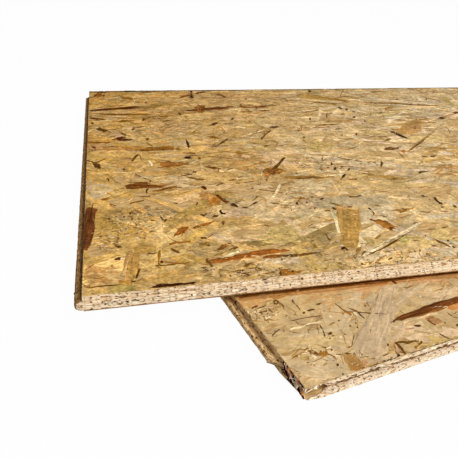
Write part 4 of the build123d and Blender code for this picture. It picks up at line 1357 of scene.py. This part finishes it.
lowerMarks = {
    # painted shade where the upper panel rests on the lower: a dark line with a warm band beside it
    "contactStain": (
        ("#b9874e", (238, 297), (262, 294.5), (290, 292), (340, 286.5), (400, 279.5), (458, 273),
         (458, 277), (440, 278.6), (400, 283), (370, 286), (340, 290), (310, 293), (290, 295.6),
         (262, 299.5), (240, 301.5)),
        ("#8a5622", (236, 296), (262, 292.5), (290, 289.5), (340, 284), (400, 277), (458, 270.5),
         (458, 273.4), (440, 275.4), (400, 279.8), (370, 283.4), (340, 287), (310, 290.6), (290, 293.6),
         (262, 296.5), (240, 299)),
    ),
    "left": (
        ("#6b3f14", (251.5, 307.4), (255, 305.5), (258, 305), (256, 307.5), (252.5, 308.7)),
        ("#a8763c", (268, 294), (280, 292.5), (292, 292.5), (291, 295), (283, 297.5), (275, 300),
         (268, 297)),
        ("#8a5a28", (268, 293.2), (275, 292), (284, 291.6), (292, 293), (288, 294.4), (278, 293.7),
         (270, 294.7)),
        ("#a07a48", (259, 294.5), (266, 293), (268, 296), (266, 299), (261, 297)),
        ("#6b3a12", (242.5, 297.3), (245, 295.8), (248, 295.6), (246, 297.4)),
        ("#6b4a20", (273, 300.5), (278, 300), (279.5, 302), (277, 304.5), (274, 304)),
        ("#b08a48", (274.6, 301.4), (277, 301.2), (277.6, 302.4), (276, 303.4), (274.8, 303)),
        ("#7a5828", (279, 302), (284, 305), (283, 306), (280, 304)),
        ("#d3b880", (256, 309.5), (262, 305.6), (269, 302), (268, 303.8), (262, 308), (257, 310.4)),
        ("#8a6c3c", (257, 308.8), (262, 306.9), (267, 304.2), (262, 307.8)),
        ("#5f4a2a", (259.5, 312), (262, 312), (263, 314), (261, 315)),
        ("#6e4518", (316, 303.7), (319, 302.6), (322, 302), (321, 303.6), (317, 304.8)),
        ("#5a3a14", (307, 310), (311, 308.8), (315, 308.8), (312, 310.3), (308, 311)),
        ("#5a3a14", (302.5, 312), (305, 311.5), (305.5, 313), (303.5, 313.8)),
        ("#8f6232", (292, 300), (294, 301.5), (296, 304.5), (299, 307), (301, 310.5), (299.5, 309.5),
         (296.5, 305.8), (293, 302.5)),
        ("#6e4a1e", (291.5, 300), (293, 299.4), (294, 301), (292.4, 301.8)),
        ("#ead2a2", (290, 328.5), (298, 326), (306, 323.8), (313, 322.2), (322, 320.2), (322, 321),
         (313, 323.3), (305, 325.3), (297, 328), (290, 329.5)),
        ("#a08050", (306, 326.2), (310, 323.7), (316, 323.2), (320, 325.2), (318, 325.2), (314, 324.3),
         (309, 325.6)),
        ("#4f3a1c", (319.5, 324.5), (321, 325.5), (323, 329), (324.5, 332), (325.8, 335.5), (325, 337),
         (323.5, 335), (322.5, 331), (320.5, 327)),
        ("#8a6f42", (317.5, 326), (318.5, 329), (319.6, 333), (318.6, 332.6)),
        ("#5a3f1c", (328, 333.5), (331, 331.5), (332.5, 333), (331, 334.6), (328.5, 334.6)),
        ("#7a5c30", (332, 334.4), (335, 335.8), (333, 336.2)),
        ("#9a7848", (328, 324.6), (331, 323), (334.5, 321.5), (334, 323.5), (330, 325)),
        ("#8a6a30", (302, 349.6), (305, 348.5), (308, 347), (309, 348.5), (306, 350)),
        ("#6b3f0e", (313, 353), (316, 352), (319, 353), (316, 354.2)),
        ("#a87a34", (319, 352), (326, 349.5), (328, 352), (327, 356), (322, 357.5), (319, 356)),
        ("#5a3610", (330.5, 349), (332, 348.5), (333, 350), (331.5, 350.7)),
        ("#b4945a", (299.5, 356), (303, 354.2), (308, 355), (309.5, 358), (305, 360.2), (301, 359)),
        ("#7d5a1c", (289, 358.5), (293, 357), (296, 355), (298, 354.5), (296.5, 356.8), (292, 359)),
        ("#f0d49c", (312, 356), (316, 354.5), (317, 357), (314, 359)),
        ("#8a6638", (332.5, 355), (335, 356.5), (337, 360), (335.5, 359)),
        ("#5f4018", (337, 363), (339, 363.5), (339, 366), (337, 366)),
        ("#7a5524", (320, 350.6), (322, 350.4), (321.6, 352), (320.2, 352)),
    ),
    "right": (
        ("#9a6c3a", (335, 302.5), (340, 306), (346, 310), (352, 314.5), (351, 315.5), (345, 312),
         (339, 307), (335, 304)),
        ("#8f5a2c", (347, 307), (352, 308.5), (356.5, 310), (358, 312), (356, 311.5), (351, 309.5)),
        ("#4f3414", (356.5, 310), (360, 313.5), (364, 317), (365, 318.2), (362, 316.5), (358, 312.5)),
        ("#edd0a4", (353, 312), (356, 311.5), (359, 314), (356, 315.5)),
        ("#c8ab84", (381, 286), (399, 285), (394, 298), (390, 310), (389, 325), (388, 342), (386, 356),
         (374, 357.5), (362, 353), (352, 347.5), (356, 337), (365, 321), (373, 306), (379, 293)),
        ("#9a7a4a", (379.5, 293), (378, 297), (376.5, 300), (377.5, 296)),
        ("#a08352", (374.5, 303), (372, 307), (371, 308.2), (373, 304.5)),
        ("#8f7040", (355, 334), (354.5, 338), (353, 343), (352, 346.5), (351, 347), (352, 342),
         (353.5, 337)),
        ("#7a5f30", (347, 346.7), (350, 346), (352, 347), (349, 347.9)),
        ("#74401e", (391, 322.3), (395, 318.5), (402, 315.2), (410, 311.5), (420, 307.5), (430, 304),
         (440, 301), (450, 298.5), (462, 295.5), (478, 292), (480, 295), (462, 301.5), (450, 305),
         (440, 308.5), (430, 311), (420, 314), (410, 317), (402, 319.5), (396, 320.5), (392, 323)),
        ("#55290f", (395, 318.7), (410, 311.7), (430, 304.2), (450, 298.7), (462, 295.7), (462, 297),
         (450, 300), (430, 305.7), (411, 313.2), (397, 319.7)),
        ("#855630", (400, 320), (415, 316), (430, 311.5), (445, 307), (460, 302), (460, 303.2),
         (445, 308.3), (430, 312.6), (415, 317), (402, 320.8)),
        ("#4a2a10", (390.5, 322.5), (393, 320.8), (395.5, 319.8), (394, 321.8), (391.5, 323.2)),
        ("#e6c396", (403, 321.5), (420, 316.9), (437, 312.2), (437, 313.4), (420, 318.2), (404, 323)),
        ("#c08040", (447, 306.5), (453, 304.5), (460, 303), (460, 309), (453, 310), (449, 308.5)),
        ("#8a6f42", (447, 312), (450, 313.5), (452, 314.7), (455, 312), (459, 310.3), (459, 311.3),
         (455, 313.5), (452, 316), (449, 314.5)),
        ("#b08052", (425.5, 318.5), (429, 316), (434, 316.5), (439, 318.5), (443, 320.5), (440, 321.5),
         (436, 325), (432, 323.5), (428, 320.5)),
        ("#7a5028", (425.5, 318.5), (428, 318), (431, 321), (436, 324), (436, 325.2), (431, 323),
         (427, 320)),
        ("#8a5a30", (429, 316), (434, 316.2), (434, 317.2), (430, 317.2)),
        ("#4a3416", (413.5, 325), (416, 324.5), (421, 324.5), (420.5, 326.5), (415, 326.3)),
        ("#6e5424", (395, 342), (400, 340.5), (407, 341), (418, 340.5), (418.5, 341.8), (412, 343),
         (407, 343.8), (404, 342.8), (398, 343)),
        ("#6e4418", (395, 342.3), (397, 341.8), (401, 346), (404, 350), (408, 355.5), (405.5, 355.5),
         (402, 351), (398, 346)),
        ("#8a5a2a", (414, 348), (418, 344.5), (421, 341.5), (422.5, 342), (420, 345), (416, 348.3)),
        ("#4f2f10", (420.5, 341), (422.5, 341), (422.3, 343), (420.5, 343)),
        ("#e0b27c", (394, 344), (396, 344), (399, 350), (401, 354), (399, 354), (396, 349)),
        ("#2e1a0a", (397, 354), (399, 353.5), (401, 355.5), (401.5, 358), (399.5, 358.5), (397.5, 357)),
        ("#6b4e20", (383, 355), (386, 353.5), (390, 353), (388, 354.3), (384, 356)),
        ("#b98a4c", (342, 353), (352, 354), (357, 356.5), (362, 362), (365, 368), (363, 369.5),
         (357, 370), (350, 369.5), (348, 364), (344, 358)),
        ("#b27a3c", (350, 362), (356, 361), (363, 364.5), (365, 369), (357, 371), (350, 369.5)),
        ("#4f3210", (363, 367), (365.5, 367.2), (364.5, 369.3), (362.5, 369)),
        ("#d8a070", (362, 360), (367, 360), (369, 364), (365, 365)),
        ("#7d5a2a", (342, 352.5), (347, 352), (352, 353.5), (347, 354.3)),
        ("#4a1c0a", (391, 280.6), (394, 280.8), (397, 283), (396, 284), (393, 282.5)),
        ("#8f7038", (404, 287), (410, 285.5), (414, 284.3), (411, 286.8), (406, 288.5)),
        ("#bb9e64", (414, 330), (430, 332), (440, 335), (430, 333.5), (416, 331.5)),
        ("#a0622c", (345, 286.8), (365, 284), (388, 281.5), (386, 283.5), (365, 287), (350, 289)),
    ),
}
lowerSpecks = {
    "darkBrown": ("#54391a", (
        (365.8, 305.4, 2.5, 2), (339, 320, 2, 2), (388, 344.5, 2, 3), (457.5, 324.5, 3, 3),
        (350.5, 325.6, 3, 1.6), (357.5, 327, 2, 2), (385, 360.8, 2.4, 1.6), (391.5, 357.6, 2.5, 1.6),
        (343, 374, 2, 3),
    )),
    "brown": ("#8a6a3a", (
        (356, 322.8, 2.4, 1.4), (355.5, 355, 1.2, 3), (362, 354.6, 1.6, 2), (264, 316.5, 2, 2),
        (268, 313, 2, 2), (287, 315.5, 2, 1.6), (295, 314.5, 2.4, 1.6), (308, 362.5, 2.4, 1.4),
        (345, 334, 2.4, 1.6), (330, 338, 3, 1.4), (284, 330, 1.2, 3), (309, 333, 2, 1.6),
        (374, 358.4, 3, 1.2),
    )),
    "paleCream": ("#e8d2a6", (
        (255, 312, 3, 2), (266, 318, 3, 2), (248, 312, 2, 3), (287, 318, 2, 1.6), (341, 337, 4, 2.4),
        (330, 316, 4, 1.2), (350, 299, 4, 1.4), (420, 296, 4, 1.4), (430, 290, 5, 1.2),
        (310, 345.5, 3, 1.2), (262, 327, 3, 1.2), (306, 351, 2.4, 1.4),
    )),
}

markSettings = {
    "highest": -0.03, "lowest": -0.23,         # mm, large marks lie deepest
    "smallArea": 3, "largeArea": 300,          # square mm
    "seat": -0.62, "border": 0.4, "rankStep": 0.00005,
    "skirtShare": 0.06, "skirt": (0.25, 1.6),  # mm, the soft border grows with the mark
    "raggedFrom": 2.5, "raggedness": 0.11,     # mm, share of the outline's step
    "raggedMost": 1,                           # mm
    "insetOfSkirt": 0.5, "insetOfWidth": 0.2,  # shares, the border starts this far inside the outline
    "leastTangent": 0.01,                      # mm
    "faceTone": "#d2b07a", "fade": 0.7, "blend": 0.03, "halo": 1.12,
    "darkBelow": 0.20, "darkWarmth": (0.92, 0.80, 0.46),
    "toneSpread": 0.03, "mottle": 0.16, "mottleRange": (0.6, 1.5), "seed": 31,
    "streakFrom": 60, "streakDensity": 0.07, "mostStreaks": 30,  # square mm, streaks to a square mm
    "streakLength": (0.14, 0.4), "streakWidth": (0.05, 0.16),    # shares of the mark's size
    "streakPull": 0.15,                                          # small values pull streaks to the outline
    "streakDark": (0.45, 0.8), "streakPale": (1.2, 1.75), "paleStreaks": 0.42, "softStreaks": 0.14,
}
streakOutline = np.array(((-1, 0), (-0.3, -1), (0.8, -0.6), (1, 0.2), (0.2, 1)))
speckSettings = {"corners": 7, "reach": (0.22, 0.62), "slant": (-0.5, 0.5)}  # shares of the speck's size


def ringArea(ring):
    after = np.roll(ring, -1, axis=0)
    return float(np.sum(ring[:, 0] * after[:, 1] - after[:, 0] * ring[:, 1]) / 2)


def speckRing(rng, speck, s):
    x, y, width, height = speck
    turns = np.arange(s["corners"]) * math.tau / s["corners"] + rng.uniform(0, 1)
    reach = rng.uniform(*s["reach"], s["corners"])
    slant = rng.uniform(*s["slant"])
    across = width * reach * np.cos(turns)
    return np.stack([x + across, y + height * reach * np.sin(turns) + slant * across * height / width], -1)


def raggedRing(rng, ring, s):
    points = []
    for here, after in zip(ring, np.roll(ring, -1, axis=0)):
        points.append(here)
        step = after - here
        span = math.hypot(*step)
        if span > s["raggedFrom"]:
            offset = np.clip(rng.normal(0, s["raggedness"]) * span, -s["raggedMost"], s["raggedMost"])
            points.append((here + after) / 2 + np.array((-step[1], step[0])) / span * offset)
    return np.array(points)


# fibres that run along a large mark, darker and paler than it
def streakShapes(rng, ring, tone, depth, s):
    axes = np.linalg.svd(ring - ring.mean(0))[2]
    spans = np.ptp(ring @ axes.T, axis=0)
    shapes = []
    for _ in range(int(min(ringArea(ring) * s["streakDensity"], s["mostStreaks"]))):
        place = rng.dirichlet(np.full(len(ring), s["streakPull"])) @ ring
        size = spans / 2 * (rng.uniform(*s["streakLength"]), rng.uniform(*s["streakWidth"]))
        streak = place + (streakOutline * size) @ axes
        pale = rng.random() < s["paleStreaks"]
        shade = rng.uniform(*(s["streakPale"] if pale else s["streakDark"]))
        shade = 1 + (shade - 1) * depth
        shapes.append((streak if ringArea(streak) > 0 else streak[::-1], tone * shade, tone))
    return shapes


# outline on the face in mm, tone, and the tone that its border fades into, the largest first
def markShapes(rng, panel, marks, specks, warmShade, s):
    outlines = [(mark[0], np.array(mark[1:])) for group in marks.values() for mark in group]
    for code, places in specks.values():
        outlines += [(code, speckRing(rng, speck, speckSettings)) for speck in places]
    shapes = []
    for code, outline in outlines:
        ring = np.array([pixelOnFace(panel, pixel) for pixel in outline])
        ring = ring if ringArea(ring) > 0 else ring[::-1]
        around = np.array(linear(s["faceTone"]))
        # the face tone around a mark takes the same warmth and painted shade
        if warmShade:
            middle = ring.mean(0)
            around = around * warmthAndFalloffShade(middle[:1], middle[1:], panel["width"], warmShadeSettings)[0]
        tone = np.array(linear(code)) * rng.normal(1, s["toneSpread"])
        dark = tone.mean() < s["darkBelow"]
        tone = tone * np.array(s["darkWarmth"]) if dark else tone
        tone = tone * (1 - s["blend"]) + around * s["blend"]
        # a dark mark's border is paler than the face around it: a painted highlight
        border = around * s["halo"] if dark else tone * (1 - s["fade"]) + around * s["fade"]
        shapes.append((raggedRing(rng, ring, s), tone, border))
        if ringArea(ring) > s["streakFrom"]:
            shapes += streakShapes(rng, ring, tone, 1 if dark else s["softStreaks"], s)
    return sorted(shapes, key=lambda shape: -ringArea(shape[0]))


def layMarks(name, panel, marks, specks, warmShade, s):
    rng = np.random.default_rng(s["seed"])
    points = []
    faces = []
    tones = []
    grains = []
    total = 0
    for rank, (ring, tone, border) in enumerate(markShapes(rng, panel, marks, specks, warmShade, s)):
        count = len(ring)
        area = max(ringArea(ring), s["smallArea"])
        size = min(math.log(area / s["smallArea"]) / math.log(s["largeArea"] / s["smallArea"]), 1)
        height = s["highest"] + (s["lowest"] - s["highest"]) * size + rank * s["rankStep"]
        tangent = np.roll(ring, -1, axis=0) - np.roll(ring, 1, axis=0)
        outward = np.stack([tangent[:, 1], -tangent[:, 0]], -1)
        outward = outward / np.maximum(np.linalg.norm(outward, axis=1), s["leastTangent"])[:, None]
        thin = 2 * area / np.linalg.norm(np.roll(ring, -1, axis=0) - ring, axis=1).sum()
        skirt = np.clip(s["skirtShare"] * math.sqrt(area), *s["skirt"])
        inset = min(skirt * s["insetOfSkirt"], thin * s["insetOfWidth"])
        grainAxes = np.linalg.svd(ring - ring.mean(0))[2]
        grain = (ring - ring.mean(0)) @ grainAxes.T + rng.uniform(0, grainReach)
        for shift, z, colour in ((-inset, height, tone), (skirt - inset, s["seat"], border)):
            outline = np.clip(ring + outward * shift, s["border"],
                              (panel["length"] - s["border"], panel["width"] - s["border"]))
            points.append(np.column_stack([outline, np.full(count, z + thickness / 2)]))
            mottled = colour * rng.normal(1, s["mottle"], (count, 1)).clip(*s["mottleRange"])
            tones.append(np.column_stack([mottled, np.full(count, neutralRim)]))
            grains.append(grain)
        above = list(range(total, total + count))
        below = [corner + count for corner in above]
        faces.append(above)
        faces.append(below[::-1])
        for here, after in zip(range(count), list(range(1, count)) + [0]):
            faces.append([below[here], below[after], above[after], above[here]])
        total += 2 * count
    mesh = bpy.data.meshes.new(name)
    mesh.from_pydata(np.concatenate(points).tolist(), [], faces)
    finishPiece(name, mesh, panel, np.concatenate(faces), np.concatenate(tones), np.concatenate(grains))


layMarks("upperTopMarks", upper, upperMarks, upperSpecks, True, markSettings)
layMarks("lowerTopMarks", lower, lowerMarks, lowerSpecks, False, markSettings)

triangles = 0
for piece in bpy.context.scene.objects:
    if piece.type == "MESH" and piece.name not in frame["nodes"]:
        triangles += sum(len(face.vertices) - 2 for face in piece.data.polygons)
print("triangles:", triangles)

# pale floor: white to the camera, keeps part of the shadow
floorSettings = {"size": 24.0, "drop": 0.0005, "shadowShare": 0.02, "shade": 0.55}  # size and drop in metres


def makeFloor(s):
    bpy.ops.object.select_all(action="DESELECT")
    bpy.ops.mesh.primitive_plane_add(size=s["size"], location=(0, 0, -s["drop"]))
    floor = bpy.context.object
    floor.name = "floor"
    material, tree = newMaterial("white studio floor")
    path = addNode(tree, "ShaderNodeLightPath")
    seen = addNode(tree, "ShaderNodeMath", {"operation": "MAXIMUM"}, _0=path.outputs["Is Camera Ray"],
                   _1=path.outputs["Is Glossy Ray"])
    seen = addNode(tree, "ShaderNodeMath", {"operation": "MAXIMUM"}, _0=seen.outputs[0],
                   _1=path.outputs["Is Transmission Ray"])
    share = addNode(tree, "ShaderNodeMath", {"operation": "MULTIPLY"}, _0=seen.outputs[0],
                    _1=1 - s["shadowShare"])
    matt = addNode(tree, "ShaderNodeBsdfDiffuse", Color=(s["shade"], s["shade"], s["shade"], 1))
    white = addNode(tree, "ShaderNodeEmission", Color=(1, 1, 1, 1), Strength=1.0)
    both = addNode(tree, "ShaderNodeMixShader", _0=share.outputs[0], _1=matt.outputs[0], _2=white.outputs[0])
    addNode(tree, "ShaderNodeOutputMaterial", Surface=both.outputs[0])
    floor.data.materials.append(material)


# light: soft room light, a large lamp to the front right and a low one in front
lightSettings = {
    "room": 0.40,
    "lampPlace": (1600, -1500, 2400), "lampAim": (300, 200, 30),  # mm, against the upper panel
    "lampSize": 1.4, "lampPower": 87,
    "fillPlace": (200, -2600, 500), "fillSize": 1.2, "fillPower": 17,
}


def makeLight(s):
    world = bpy.data.worlds.new("studio")
    bpy.context.scene.world = world
    world.use_nodes = True
    tree = world.node_tree
    tree.nodes.clear()
    path = addNode(tree, "ShaderNodeLightPath")
    room = addNode(tree, "ShaderNodeBackground", Color=(1, 1, 1, 1), Strength=s["room"])
    white = addNode(tree, "ShaderNodeBackground", Color=(1, 1, 1, 1), Strength=1.0)
    mix = addNode(tree, "ShaderNodeMixShader", _0=path.outputs["Is Camera Ray"], _1=room.outputs[0],
                  _2=white.outputs[0])
    addNode(tree, "ShaderNodeOutputWorld", Surface=mix.outputs[0])
    for kind in ("lamp", "fill"):
        place = upper["matrix"] @ Vector(s[kind + "Place"])
        aim = upper["matrix"] @ Vector(s["lampAim"])
        data = bpy.data.lights.new(kind, "AREA")
        data.shape = "DISK"
        data.size = s[kind + "Size"]
        data.energy = s[kind + "Power"]
        lamp = bpy.data.objects.new(kind, data)
        bpy.context.scene.collection.objects.link(lamp)
        lamp.location = place
        lamp.rotation_euler = (aim - place).to_track_quat("-Z", "Y").to_euler()


makeFloor(floorSettings)
makeLight(lightSettings)
bpy.context.scene.view_settings.view_transform = "Standard"
